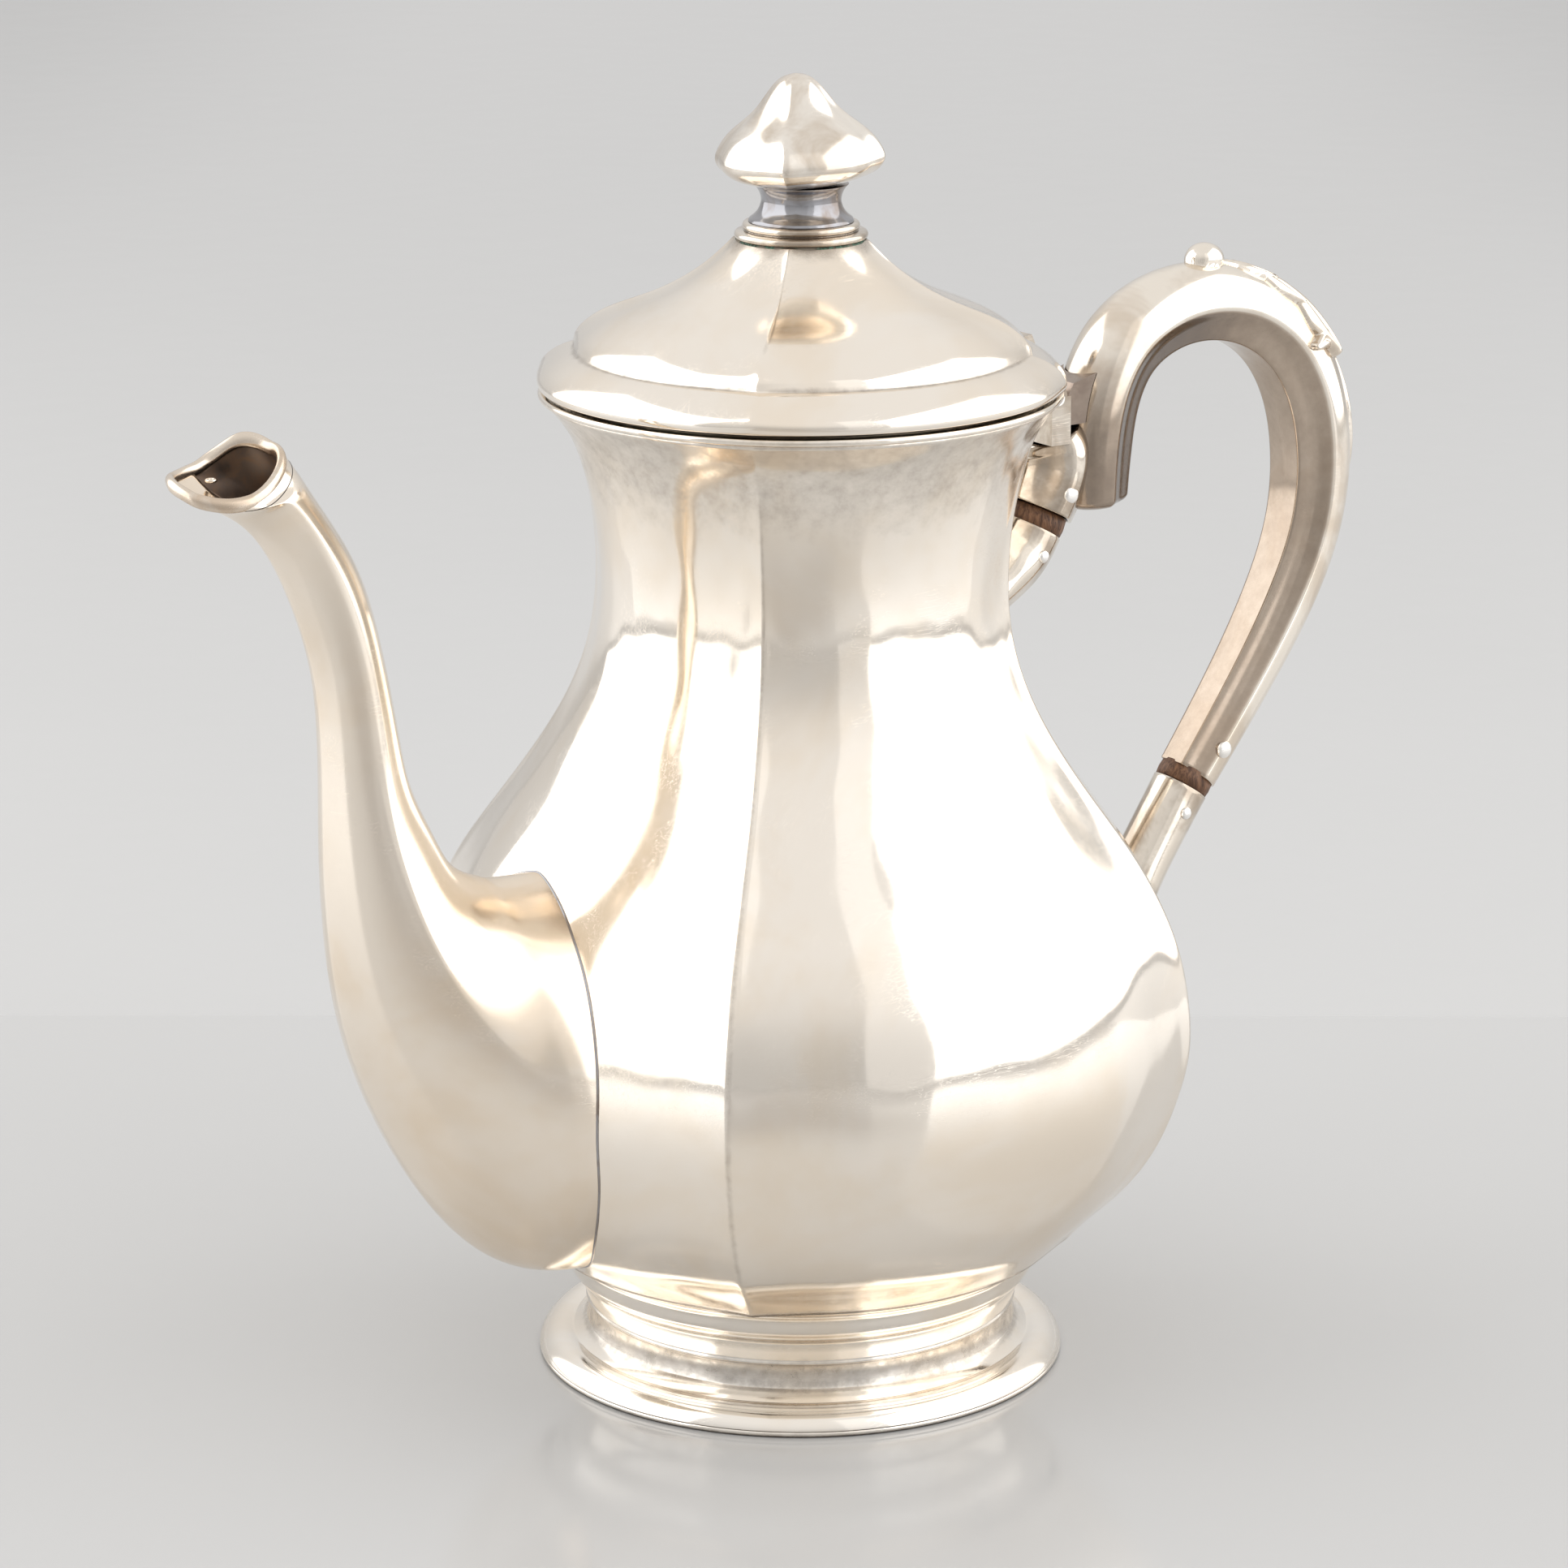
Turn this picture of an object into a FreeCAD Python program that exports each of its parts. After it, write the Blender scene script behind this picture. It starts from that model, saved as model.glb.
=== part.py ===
import FreeCAD, Part
import math
import os
import Sketcher

# Silver coffee pot. Millimetres, +Z up. Origin: centre of the foot's resting plane.
# The spout points to -X, the handle to +X, and four vertical ridges stand at 45 degrees to them.

V = FreeCAD.Vector
Y_AXIS = V(0, 1, 0)

DIMENSIONS = {
    "foot_radius": 47.2,
    "foot_waist": 38.5,
    "foot_height": 22.5,
    "foot_wire_height": 1.1,
    "wall": 1.0,
    "body_bottom_radius": 46.4,
    "belly_radius": 67.0,
    "belly_height": 58.0,
    "neck_radius": 35.3,
    "neck_height": 141.0,
    "mouth_radius": 44.8,
    "body_top": 174.6,
    "mouth_wire_radius": 45.6,
    "mouth_wire_height": 1.2,
    "ridge_rise": 0.036,
    "ridge_flank": 15.0,
    "lid_gap": 0.6,
    "lid_radius": 45.7,
    "lid_edge_height": 6.3,
    "lid_groove_radius": 39.2,
    "lid_top": 202.0,
    "lid_top_radius": 11.0,
    "bezel_radius": 40.0,
    "collar_radius": 11.6,
    "stem_radius": 6.6,
    "knob_radius": 13.9,
    "knob_height": 19.0,
    "knob_lean": 3.5,
    "screw_radius": 1.5,
    "hinge_x": 50.6,
    "hinge_z": 169.2,
    "knuckle_radius": 2.7,
    "pin_radius": 1.2,
    "running_clearance": 0.05,
    "hinge_half_width": 6.4,
    "solder_gap": 0.3,
    "ferrule_radius": 5.9,
    "socket_radius": 5.3,
    "plug_radius": 4.2,
    "insulator_gap": 3.0,
    "large_rivet_radius": 1.45,
    "small_rivet_radius": 1.05,
    "strainer_hole": 3.0,
}

doc = FreeCAD.newDocument("coffee_pot")
sheet = doc.addObject("Spreadsheet::Sheet", "dims")
for row, (alias, value) in enumerate(DIMENSIONS.items(), 1):
    sheet.set("A%d" % row, alias)
    sheet.set("B%d" % row, str(value))
    sheet.setAlias("B%d" % row, alias)
doc.recompute()

pieces = []


def dim(alias):
    return float(sheet.get(alias))


# ---------------------------------------------------------------- PartDesign helpers

def origin_plane(body, role):
    return next(f for f in body.Origin.OriginFeatures if f.Role == role)


def new_body(label):
    body = doc.addObject("PartDesign::Body", label)
    body.Label = label
    pieces.append(body)
    return body


def new_sketch(body, name, role="XZ_Plane"):
    sketch = body.newObject("Sketcher::SketchObject", name)
    sketch.AttachmentSupport = [(origin_plane(body, role), "")]
    sketch.MapMode = "FlatFace"
    return sketch


def size_of(term):
    """A coordinate is a number, or (alias, offset) measured from a cell of the sheet."""
    if isinstance(term, tuple):
        return dim(term[0]) + term[1]
    return float(term)


def bind(sketch, index, term):
    if isinstance(term, tuple):
        sketch.setExpression("Constraints[%d]" % index, "dims.%s + (%g)" % term)


def pin_vertex(sketch, geo, pos, x_term, y_term):
    """Hold one end of a sketch curve at (x, y) from the sketch's origin."""
    for kind, term in (("DistanceX", x_term), ("DistanceY", y_term)):
        if size_of(term) == 0.0:
            axis = -2 if kind == "DistanceX" else -1
            sketch.addConstraint(Sketcher.Constraint("PointOnObject", geo, pos, axis))
            continue
        index = sketch.addConstraint(Sketcher.Constraint(kind, -1, 1, geo, pos, size_of(term)))
        bind(sketch, index, term)


def arc_between(start, end, bulge):
    """Circular arc through start and end; positive bulge bows it to the right of its travel."""
    chord = end - start
    half = chord.Length / 2
    radius = (half * half + bulge * bulge) / (2 * abs(bulge))
    right = V(chord.y, -chord.x, 0).normalize()
    centre = (start + end) / 2 - right * (math.copysign(radius, bulge) - bulge)
    from_angle = math.atan2(start.y - centre.y, start.x - centre.x)
    to_angle = math.atan2(end.y - centre.y, end.x - centre.x)
    forward = bulge > 0
    if not forward:
        from_angle, to_angle = to_angle, from_angle
    circle = Part.Circle(centre, V(0, 0, 1), radius)
    return Part.ArcOfCircle(circle, from_angle, to_angle), radius, forward


def draw_outline(sketch, outline):
    """Closed outline. Each vertex is (x, y) or (x, y, bulge of the arc to the next vertex)."""
    points = [V(size_of(v[0]), size_of(v[1]), 0) for v in outline]
    ends = []
    for i, vertex in enumerate(outline):
        start, end = points[i], points[(i + 1) % len(points)]
        if len(vertex) == 3:
            arc, radius, forward = arc_between(start, end, vertex[2])
            geo = sketch.addGeometry(arc)
            sketch.addConstraint(Sketcher.Constraint("Radius", geo, radius))
            ends.append((geo, 1 if forward else 2, 2 if forward else 1))
        else:
            geo = sketch.addGeometry(Part.LineSegment(start, end))
            ends.append((geo, 1, 2))
    for i, (geo, first, last) in enumerate(ends):
        next_geo, next_first, _ = ends[(i + 1) % len(ends)]
        sketch.addConstraint(Sketcher.Constraint("Coincident", geo, last, next_geo, next_first))
        pin_vertex(sketch, geo, first, outline[i][0], outline[i][1])


def turned(label, outline):
    """A piece turned about the Z axis from its (radius, height) outline."""
    body = new_body(label)
    sketch = new_sketch(body, label + "_outline")
    draw_outline(sketch, outline)
    revolution = body.newObject("PartDesign::Revolution", label + "_turn")
    revolution.Profile = sketch
    revolution.ReferenceAxis = (sketch, ["V_Axis"])
    revolution.Angle = 360.0
    return body


# ---------------------------------------------------------------- lofts and sections

def feature(label, shape):
    """A piece whose shape comes from lofts through ridged sections."""
    piece = doc.addObject("Part::Feature", label)
    piece.Label = label
    piece.Shape = shape
    piece.Placement = FreeCAD.Placement(V(0, 0, 0), FreeCAD.Rotation())
    pieces.append(piece)
    return piece


def ridge_shape(angle, ridges, rise, flank):
    """Radius factor of a section: 1 on the lobes, rising in a cusp at each ridge."""
    factor = 1.0
    for ridge in ridges:
        away = abs((angle - ridge + 180.0) % 360.0 - 180.0)
        factor += rise * max(0.0, 1.0 - away / flank) ** 2
    return factor


def ridged_wire(centre, across, along, half_across, half_along, ridges, rise, flank):
    """Closed section of four smooth curves that meet in the four ridges."""
    edges = []
    corners = []
    for ridge in ridges:
        corners.append(section_point(centre, across, along, half_across, half_along, ridge,
                                     ridges, rise, flank))
    for i, ridge in enumerate(ridges):
        span = (ridges[(i + 1) % 4] - ridge) % 360.0
        near = min(flank, span / 2.5)
        steps = [near * k / 4 for k in range(1, 5)]
        middle = [near + (span - 2 * near) * k / 5 for k in range(1, 5)]
        steps += middle + [span - s for s in reversed(steps)]
        points = [corners[i]]
        for step in steps:
            points.append(section_point(centre, across, along, half_across, half_along,
                                        ridge + step, ridges, rise, flank))
        points.append(corners[(i + 1) % 4])
        curve = Part.BSplineCurve()
        curve.interpolate(points)
        edges.append(curve.toShape())
    return Part.Wire(edges)


def section_point(centre, across, along, half_across, half_along, angle, ridges, rise, flank):
    factor = ridge_shape(angle, ridges, rise, flank)
    turn = math.radians(angle)
    return (centre + across * (half_across * factor * math.cos(turn))
            + along * (half_along * factor * math.sin(turn)))


def level_wire(height, radius, rise):
    """Level section of the body, the lid or the knob, with ridges at 45 degrees."""
    return ridged_wire(V(0, 0, height), V(1, 0, 0), Y_AXIS, radius, radius,
                       (45.0, 135.0, 225.0, 315.0), rise, dim("ridge_flank"))


def loft(wires):
    return Part.makeLoft(wires, True, False)


def revolved(points):
    wire = Part.makePolygon([V(r, 0, z) for r, z in points + points[:1]])
    return Part.Face(wire).revolve(V(0, 0, 0), V(0, 0, 1), 360)


def rod(start, direction, radius, length):
    return Part.makeCylinder(radius, length, start, direction)


def cross_rod(x, z, radius, half_length):
    """Cylinder across the pot, parallel to Y."""
    return rod(V(x, -half_length, z), Y_AXIS, radius, 2 * half_length)


# ---------------------------------------------------------------- body

def body_profile():
    """(height, radius, share of the full ridge rise) from the foot to the mouth."""
    bottom = dim("foot_height")
    belly, belly_z = dim("belly_radius"), dim("belly_height")
    neck, neck_z = dim("neck_radius"), dim("neck_height")
    top = dim("body_top")
    return [
        (bottom, dim("body_bottom_radius"), 1.0),
        (bottom + 3.5, belly * 0.740, 1.0),
        (belly_z - 28.0, belly * 0.803, 1.0),
        (belly_z - 20.0, belly * 0.898, 1.0),
        (belly_z - 10.0, belly * 0.964, 1.0),
        (belly_z, belly, 1.0),
        (belly_z + 10.0, belly * 0.997, 1.0),
        (belly_z + 22.0, belly * 0.958, 1.0),
        (belly_z + 34.0, belly * 0.875, 1.0),
        (belly_z + 46.0, belly * 0.750, 1.0),
        (neck_z - 25.0, neck * 1.204, 1.0),
        (neck_z - 13.0, neck * 1.057, 1.0),
        (neck_z, neck, 1.0),
        (neck_z + 11.0, neck * 1.017, 0.9),
        (neck_z + 22.5, neck * 1.085, 0.7),
        (top - 4.5, neck * 1.168, 0.4),
        (top, dim("mouth_radius"), 0.15),
    ]


def body_loft(offset):
    wires = [level_wire(z, r + offset, dim("ridge_rise") * share) for z, r, share in body_profile()]
    return loft(wires)


def strainer_holes():
    """Rows of holes pierced through the wall where the spout covers it."""
    holes = []
    pitch = 2.4 * dim("strainer_hole")
    for row in range(5):
        count = 4 + row % 2
        for k in range(count):
            y = (k - (count - 1) / 2) * pitch
            z = dim("belly_height") - 8.0 + row * pitch * 0.87
            holes.append(rod(V(-75, y, z), V(1, 0, 0), dim("strainer_hole") / 2, 30))
    return holes


outer_body = body_loft(0.0)
inner_body = body_loft(-dim("wall"))
clear_body = body_loft(dim("solder_gap"))
body_shell = outer_body.cut(inner_body)
for hole in strainer_holes():
    body_shell = body_shell.cut(hole)
feature("body", body_shell)

turned("base_plate", [
    (0, ("foot_height", 0)),
    (("body_bottom_radius", -1.6), ("foot_height", 0)),
    (("body_bottom_radius", -1.6), ("foot_height", 1.2)),
    (0, ("foot_height", 1.2)),
])

turned("mouth_rim", [
    (("mouth_radius", -2.2), ("body_top", 0)),
    (("mouth_wire_radius", -0.3), ("body_top", 0), 0.3),
    (("mouth_wire_radius", -0.3), ("body_top", 1.2)),
    (("mouth_radius", -2.2), ("body_top", 1.2)),
])

# ---------------------------------------------------------------- foot

turned("foot", [
    (("body_bottom_radius", -5.2), ("foot_height", 0)),
    (("foot_waist", 0.0), 15.4),
    (("foot_waist", -1.3), 10.5),
    (("foot_waist", -1.3), 5.5),
    (("foot_radius", -7.0), 3.0),
    (("foot_radius", -3.0), 2.8),
    (("foot_radius", -3.0), ("foot_wire_height", 0)),
    (("foot_radius", 0), ("foot_wire_height", 0), 0.35),
    (("foot_radius", -2.2), 3.9, 0.45),
    (("foot_radius", -6.2), 4.0),
    (("foot_waist", 0.6), 5.4),
    (("foot_waist", 0.1), 5.9, -0.35),
    (("foot_waist", 0.0), 10.0),
    (("foot_waist", 0.35), 10.4),
    (("foot_waist", 0.1), 10.9),
    (("foot_waist", 1.4), 14.7, 0.5),
    (("foot_waist", 4.1), 19.2, -0.5),
    (("body_bottom_radius", -0.4), ("foot_height", 0)),
])

turned("foot_rim", [
    (("foot_radius", -4.0), 0),
    (("foot_radius", -0.35), 0, 0.25),
    (("foot_radius", -0.1), ("foot_wire_height", 0)),
    (("foot_radius", -3.3), ("foot_wire_height", 0)),
    (("foot_radius", -3.3), ("foot_wire_height", 1.4)),
    (("foot_radius", -4.0), ("foot_wire_height", 1.4)),
])

# ---------------------------------------------------------------- spout

def plane_section(outer, inner, half_width, ridges, rise, flank):
    """Section across the middle plane from the outer to the inner side of a curved tube."""
    centre = (outer + inner) / 2
    across = (outer - inner).normalize()
    return ridged_wire(centre, across, Y_AXIS, (outer - inner).Length / 2, half_width,
                       ridges, rise, flank)


SPOUT_SECTIONS = [
    # outer side x, z   inner side x, z   half width
    ((-44.0, 27.0), (-46.0, 95.0), 28.5),
    ((-58.0, 28.5), (-62.0, 95.5), 28.0),
    ((-71.0, 36.5), (-67.0, 96.8), 24.5),
    ((-82.0, 51.0), (-70.5, 98.6), 20.0),
    ((-90.0, 67.5), (-74.5, 102.5), 15.5),
    ((-94.4, 84.0), (-78.0, 109.5), 12.0),
    ((-96.2, 103.0), (-81.5, 118.0), 9.3),
    ((-96.4, 120.0), (-83.4, 127.5), 7.6),
    ((-97.2, 136.0), (-85.6, 139.5), 6.8),
    ((-100.6, 149.0), (-89.5, 154.0), 6.6),
    ((-105.6, 159.8), (-95.3, 164.6), 7.0),
    ((-111.5, 166.4), (-99.4, 170.2), 7.8),
    ((-118.0, 169.9), (-101.0, 173.6), 8.6),
    ((-124.0, 173.5), (-102.2, 177.5), 9.0),
]
MOUTH_TIP = (-124.0, 172.9)
MOUTH_BACK = (-102.2, 176.6)
LIP_HEIGHT = 3.0


def spout_loft(offset, overrun=0.0):
    """Spout through its sections, grown by offset; overrun carries both ends further on."""
    wires = []
    last = len(SPOUT_SECTIONS) - 1
    for i, ((outer_x, outer_z), (inner_x, inner_z), half_width) in enumerate(SPOUT_SECTIONS):
        outer, inner = V(outer_x, 0, outer_z), V(inner_x, 0, inner_z)
        push = (outer - inner).normalize() * offset
        if i == 0:
            shift = V(overrun, 0, 0)
        elif i == last:
            shift = V(-0.6, 0, 1) * overrun
        else:
            shift = V(0, 0, 0)
        wires.append(plane_section(outer + push + shift, inner - push + shift,
                                   half_width + offset, (0.0, 95.0, 180.0, 265.0), 0.07, 40.0))
    return loft(wires)


def over_mouth_plane(below):
    """Block above the sloping plane of the mouth, or above a plane lower by the given height."""
    slope = (MOUTH_BACK[1] - MOUTH_TIP[1]) / (MOUTH_BACK[0] - MOUTH_TIP[0])
    left, right, top = MOUTH_TIP[0] - 16, MOUTH_BACK[0] + 22, MOUTH_BACK[1] + 25
    levels = [MOUTH_TIP[1] + (x - MOUTH_TIP[0]) * slope - below for x in (left, right)]
    outline = [V(left, -30, levels[0]), V(right, -30, levels[1]), V(right, -30, top),
               V(left, -30, top), V(left, -30, levels[0])]
    return Part.Face(Part.makePolygon(outline)).extrude(Y_AXIS * 60)


spout_outer = spout_loft(0.0)
spout_inner = spout_loft(-dim("wall"), 2.0)
above_mouth = over_mouth_plane(0.0)
lip_zone = over_mouth_plane(LIP_HEIGHT)
spout_tube = spout_outer.cut(spout_inner).cut(clear_body).cut(lip_zone)
# Two halves, soldered along the middle plane.
back_side = Part.makeBox(160, 60, 260, V(-150, 0, 0))
feature("spout_half_back", spout_tube.common(back_side))
feature("spout_half_front", spout_tube.cut(back_side))

lip_ring = spout_loft(0.35).cut(spout_inner).cut(above_mouth).common(lip_zone)
feature("spout_lip", lip_ring)

# ---------------------------------------------------------------- lid

lid_bottom = dim("body_top") + dim("mouth_wire_height") + dim("lid_gap")


def lid_profile():
    """(height, radius, ridge share) of the lid from its lower edge to the finial's seat."""
    edge, edge_top = dim("lid_radius"), lid_bottom + dim("lid_edge_height")
    groove, top = dim("lid_groove_radius"), dim("lid_top")
    return [
        (lid_bottom, edge - 0.4, 0.1),
        (lid_bottom + 1.1, edge, 0.2),
        (lid_bottom + 2.6, edge - 0.6, 0.3),
        (lid_bottom + 4.5, edge - 2.6, 0.4),
        (edge_top - 0.5, edge - 4.9, 0.4),
        (edge_top, groove, 0.4),
    ], [
        (edge_top, groove, 0.4),
        (edge_top + 1.3, groove - 0.5, 0.5),
        (edge_top + 3.8, groove * 0.925, 0.7),
        (edge_top + 6.5, groove * 0.800, 1.0),
        (edge_top + 9.5, groove * 0.610, 1.0),
        (edge_top + 11.1, groove * 0.530, 1.0),
        (edge_top + 14.8, groove * 0.395, 1.0),
        (top, dim("lid_top_radius"), 1.0),
    ]


def lid_cavity():
    seat = lid_bottom + 3.4
    return revolved([
        (0, lid_bottom - 1), (dim("lid_radius") - 1.6, lid_bottom - 1),
        (dim("lid_radius") - 1.6, lid_bottom + 1.4), (dim("bezel_radius") + 1.2, seat),
        (dim("bezel_radius") - 2.0, seat), (36.8, seat + 3.8), (34.5, seat + 5.6),
        (29.5, seat + 8.3), (23.0, seat + 10.9), (14.5, seat + 16.0), (8.0, seat + 20.6),
        (0, seat + 20.6)])


edge_part, dome_part = lid_profile()
lid_solid = loft([level_wire(z, r, dim("ridge_rise") * s) for z, r, s in edge_part])
lid_solid = lid_solid.fuse(loft([level_wire(z, r, dim("ridge_rise") * s) for z, r, s in dome_part]))
screw_bore = rod(V(0, 0, 190), V(0, 0, 1), dim("screw_radius") + 0.2, 30)
feature("lid", lid_solid.cut(lid_cavity()).cut(screw_bore))

turned("lid_bezel", [
    (("bezel_radius", -1.2), ("body_top", -1.8)),
    (("bezel_radius", 0), ("body_top", -1.8)),
    (("bezel_radius", 0), ("body_top", 5.2)),
    (("bezel_radius", -1.2), ("body_top", 5.2)),
])

# ---------------------------------------------------------------- finial

turned("finial_collar", [
    (("screw_radius", 0.2), ("lid_top", 0)),
    (("collar_radius", -0.4), ("lid_top", 0), 0.35),
    (("collar_radius", -0.4), ("lid_top", 1.3)),
    (("collar_radius", -1.9), ("lid_top", 1.5), 0.45),
    (("collar_radius", -1.9), ("lid_top", 2.9)),
    (("screw_radius", 0.2), ("lid_top", 2.9)),
])

turned("finial_stem", [
    (("screw_radius", 0.2), ("lid_top", 2.9)),
    (("stem_radius", 2.6), ("lid_top", 2.9)),
    (("stem_radius", 2.3), ("lid_top", 3.5), -0.45),
    (("stem_radius", 0.3), ("lid_top", 6.6), -0.35),
    (("stem_radius", 1.7), ("lid_top", 8.8)),
    (("screw_radius", 0.2), ("lid_top", 8.8)),
])

KNOB_SHAPE = [
    # share of the knob's height, share of its greatest radius
    (0.00, 0.45), (0.06, 0.70), (0.14, 0.92), (0.22, 1.00), (0.34, 0.955), (0.46, 0.84),
    (0.58, 0.65), (0.69, 0.49), (0.80, 0.375), (0.91, 0.26), (1.00, 0.06)]
knob = loft([level_wire(dim("knob_height") * up, dim("knob_radius") * out, 0.06)
             for up, out in KNOB_SHAPE])
knob_piece = feature("finial_knob", knob)
knob_piece.setExpression(".Placement.Base.z", "dims.lid_top + 9.4")
knob_piece.Placement.Rotation = FreeCAD.Rotation(Y_AXIS, -dim("knob_lean"))


def cylinder(label, radius, height, base_z):
    piece = doc.addObject("Part::Cylinder", label)
    piece.Label = label
    piece.setExpression("Radius", radius)
    piece.setExpression("Height", height)
    piece.setExpression(".Placement.Base.z", base_z)
    return piece


pieces.append(cylinder("finial_screw", "dims.screw_radius", "13", "dims.lid_top - 4.6"))

turned("finial_washer", [
    (("screw_radius", 0.1), ("lid_top", -2.4)),
    (("screw_radius", 4.5), ("lid_top", -2.4)),
    (("screw_radius", 4.5), ("lid_top", -1.6)),
    (("screw_radius", 0.1), ("lid_top", -1.6)),
])

nut = new_body("finial_nut")
nut_sketch = new_sketch(nut, "nut_hexagon", "XY_Plane")
corners = [(3.4 * math.cos(math.radians(60 * k)), 3.4 * math.sin(math.radians(60 * k)))
           for k in range(6)]
draw_outline(nut_sketch, corners)
bore = nut_sketch.addGeometry(Part.Circle(V(0, 0, 0), V(0, 0, 1), dim("screw_radius") + 0.02))
nut_sketch.addConstraint(Sketcher.Constraint("Coincident", bore, 3, -1, 1))
bore_size = nut_sketch.addConstraint(Sketcher.Constraint("Radius", bore, dim("screw_radius") + 0.02))
nut_sketch.setExpression("Constraints[%d]" % bore_size, "dims.screw_radius + 0.02")
nut_pad = nut.newObject("PartDesign::Pad", "nut_pad")
nut_pad.Profile = nut_sketch
nut_pad.Length = 2.2
nut.setExpression(".Placement.Base.z", "dims.lid_top - 4.6")

# ---------------------------------------------------------------- handle

HANDLE_PATH = [
    # x, z, half thickness, half width
    (64.3, 148.8, 6.4, 6.2), (64.0, 157.0, 7.2, 7.0), (65.4, 166.5, 7.4, 7.3),
    (70.0, 175.2, 7.4, 7.5), (79.0, 180.6, 7.4, 7.6), (88.8, 181.6, 7.4, 7.6),
    (98.8, 179.0, 7.4, 7.6), (108.0, 172.0, 7.4, 7.6), (113.4, 162.5, 7.4, 7.6),
    (115.6, 150.5, 7.3, 7.5), (114.3, 137.7, 7.0, 7.2), (108.6, 123.8, 6.6, 6.7),
    (99.2, 108.9, 6.0, 6.1), (87.8, 93.3, 5.5, 5.6)]
HANDLE_RIDGES, HANDLE_RISE, HANDLE_FLANK = (90.0, 148.0, 212.0, 270.0), 0.06, 29.0
LOWER_END = V(87.8, 0, 93.3)
LOWER_UP = V(0.59, 0, 0.807).normalize()
UPPER_MOUTH = V(52.2, 0, 147.1)
UPPER_UP = V(0.45, 0, 0.893).normalize()
FERRULE_PATH = [
    # x, z, radius as a share of the ferrule's radius
    (52.2, 147.1, 1.0), (54.6, 151.9, 1.03), (56.1, 156.0, 1.03), (56.3, 159.4, 0.97),
    (56.1, 161.6, 0.84)]


def path_tangent(points, i):
    before, after = points[max(i - 1, 0)], points[min(i + 1, len(points) - 1)]
    return (after - before).normalize()


def tube_sections(path, ridges, rise, flank, last_tangent=None):
    """Sections square to a path in the middle plane, with 0 degrees on its outer side."""
    points = [V(x, 0, z) for x, z, _, _ in path]
    wires = []
    for i, (_, _, thick, wide) in enumerate(path):
        tangent = path_tangent(points, i)
        if i == len(path) - 1 and last_tangent:
            tangent = last_tangent
        outward = Y_AXIS.cross(tangent) * -1
        wires.append(ridged_wire(points[i], outward, Y_AXIS, thick, wide, ridges, rise, flank))
    return wires


def round_tube(path, first_tangent, offset=0.0):
    """Loft through circles square to a path of (x, z, radius)."""
    points = [V(x, 0, z) for x, z, _ in path]
    wires = []
    for i, (_, _, radius) in enumerate(path):
        direction = first_tangent if i == 0 else path_tangent(points, i)
        wires.append(Part.Wire(Part.makeCircle(radius + offset, points[i], direction)))
    return loft(wires)


def ferrule_loft(offset):
    path = [(x, z, share * dim("ferrule_radius")) for x, z, share in FERRULE_PATH]
    start = UPPER_MOUTH - UPPER_UP * (20 * offset)
    end = (path[-1][0], path[-1][1] + offset, path[-1][2])
    return round_tube([(start.x, start.z, path[0][2])] + path[1:-1] + [end], UPPER_UP, offset)


ferrule_envelope = ferrule_loft(dim("solder_gap"))
handle_solid = loft(tube_sections(HANDLE_PATH, HANDLE_RIDGES, HANDLE_RISE, HANDLE_FLANK,
                                  LOWER_UP * -1))
lower_plug_bore = rod(LOWER_END - LOWER_UP * 2, LOWER_UP, dim("plug_radius") + 0.05, 11.6)
upper_rivet = UPPER_MOUTH + UPPER_UP * 4.6
lower_rivet = LOWER_END + LOWER_UP * 6.2
handle_hole = cross_rod(lower_rivet.x, lower_rivet.z, dim("large_rivet_radius") + 0.05, 12)
feature("handle", handle_solid.cut(ferrule_envelope).cut(lower_plug_bore).cut(handle_hole))


def leaf_section(x, z, outward, inner, thickness, half_width, half_angle):
    """Crescent that lies on the handle's outer side."""
    low, high = [], []
    for k in range(9):
        turn = math.radians(half_angle * (k / 4.0 - 1.0))
        edge = 1.0 - (k / 4.0 - 1.0) ** 2
        lift = 0.25 + thickness * edge
        low.append(V(x, 0, z) + outward * (inner * math.cos(turn))
                   + Y_AXIS * (half_width * math.sin(turn)))
        high.append(V(x, 0, z) + outward * ((inner + lift) * math.cos(turn))
                    + Y_AXIS * ((half_width + lift) * math.sin(turn)))
    under, over = Part.BSplineCurve(), Part.BSplineCurve()
    under.interpolate(low)
    over.interpolate(high)
    sides = [Part.makeLine(low[-1], high[-1]), Part.makeLine(high[0], low[0])]
    over_edge = over.toShape()
    over_edge.reverse()
    return Part.Wire([under.toShape(), sides[0], over_edge, sides[1]])


LEAF_STATIONS = [
    # index on the handle's path, thickness, half angle
    (4, 1.0, 22.0), (5, 1.6, 45.0), (6, 1.3, 62.0), (7, 1.2, 66.0), (8, 1.1, 34.0), (9, 1.0, 20.0),
    (10, 0.7, 10.0)]
handle_points = [V(x, 0, z) for x, z, _, _ in HANDLE_PATH]
leaf_wires = []
for index, thickness, half_angle in LEAF_STATIONS:
    x, z, thick, wide = HANDLE_PATH[index]
    outward = Y_AXIS.cross(path_tangent(handle_points, index)) * -1
    leaf_wires.append(leaf_section(x, z, outward, thick + dim("solder_gap"), thickness,
                                   wide + dim("solder_gap"), half_angle))
leaf = loft(leaf_wires)
handle_envelope = loft(tube_sections([(x, z, thick + dim("solder_gap"), wide + dim("solder_gap"))
                                      for x, z, thick, wide in HANDLE_PATH],
                                     HANDLE_RIDGES, HANDLE_RISE, HANDLE_FLANK))
bud = Part.makeSphere(3.3, V(88.6, 0, 190.6)).cut(handle_envelope)
feature("handle_leaf", leaf.fuse(bud))

# ---------------------------------------------------------------- upper joint

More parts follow.
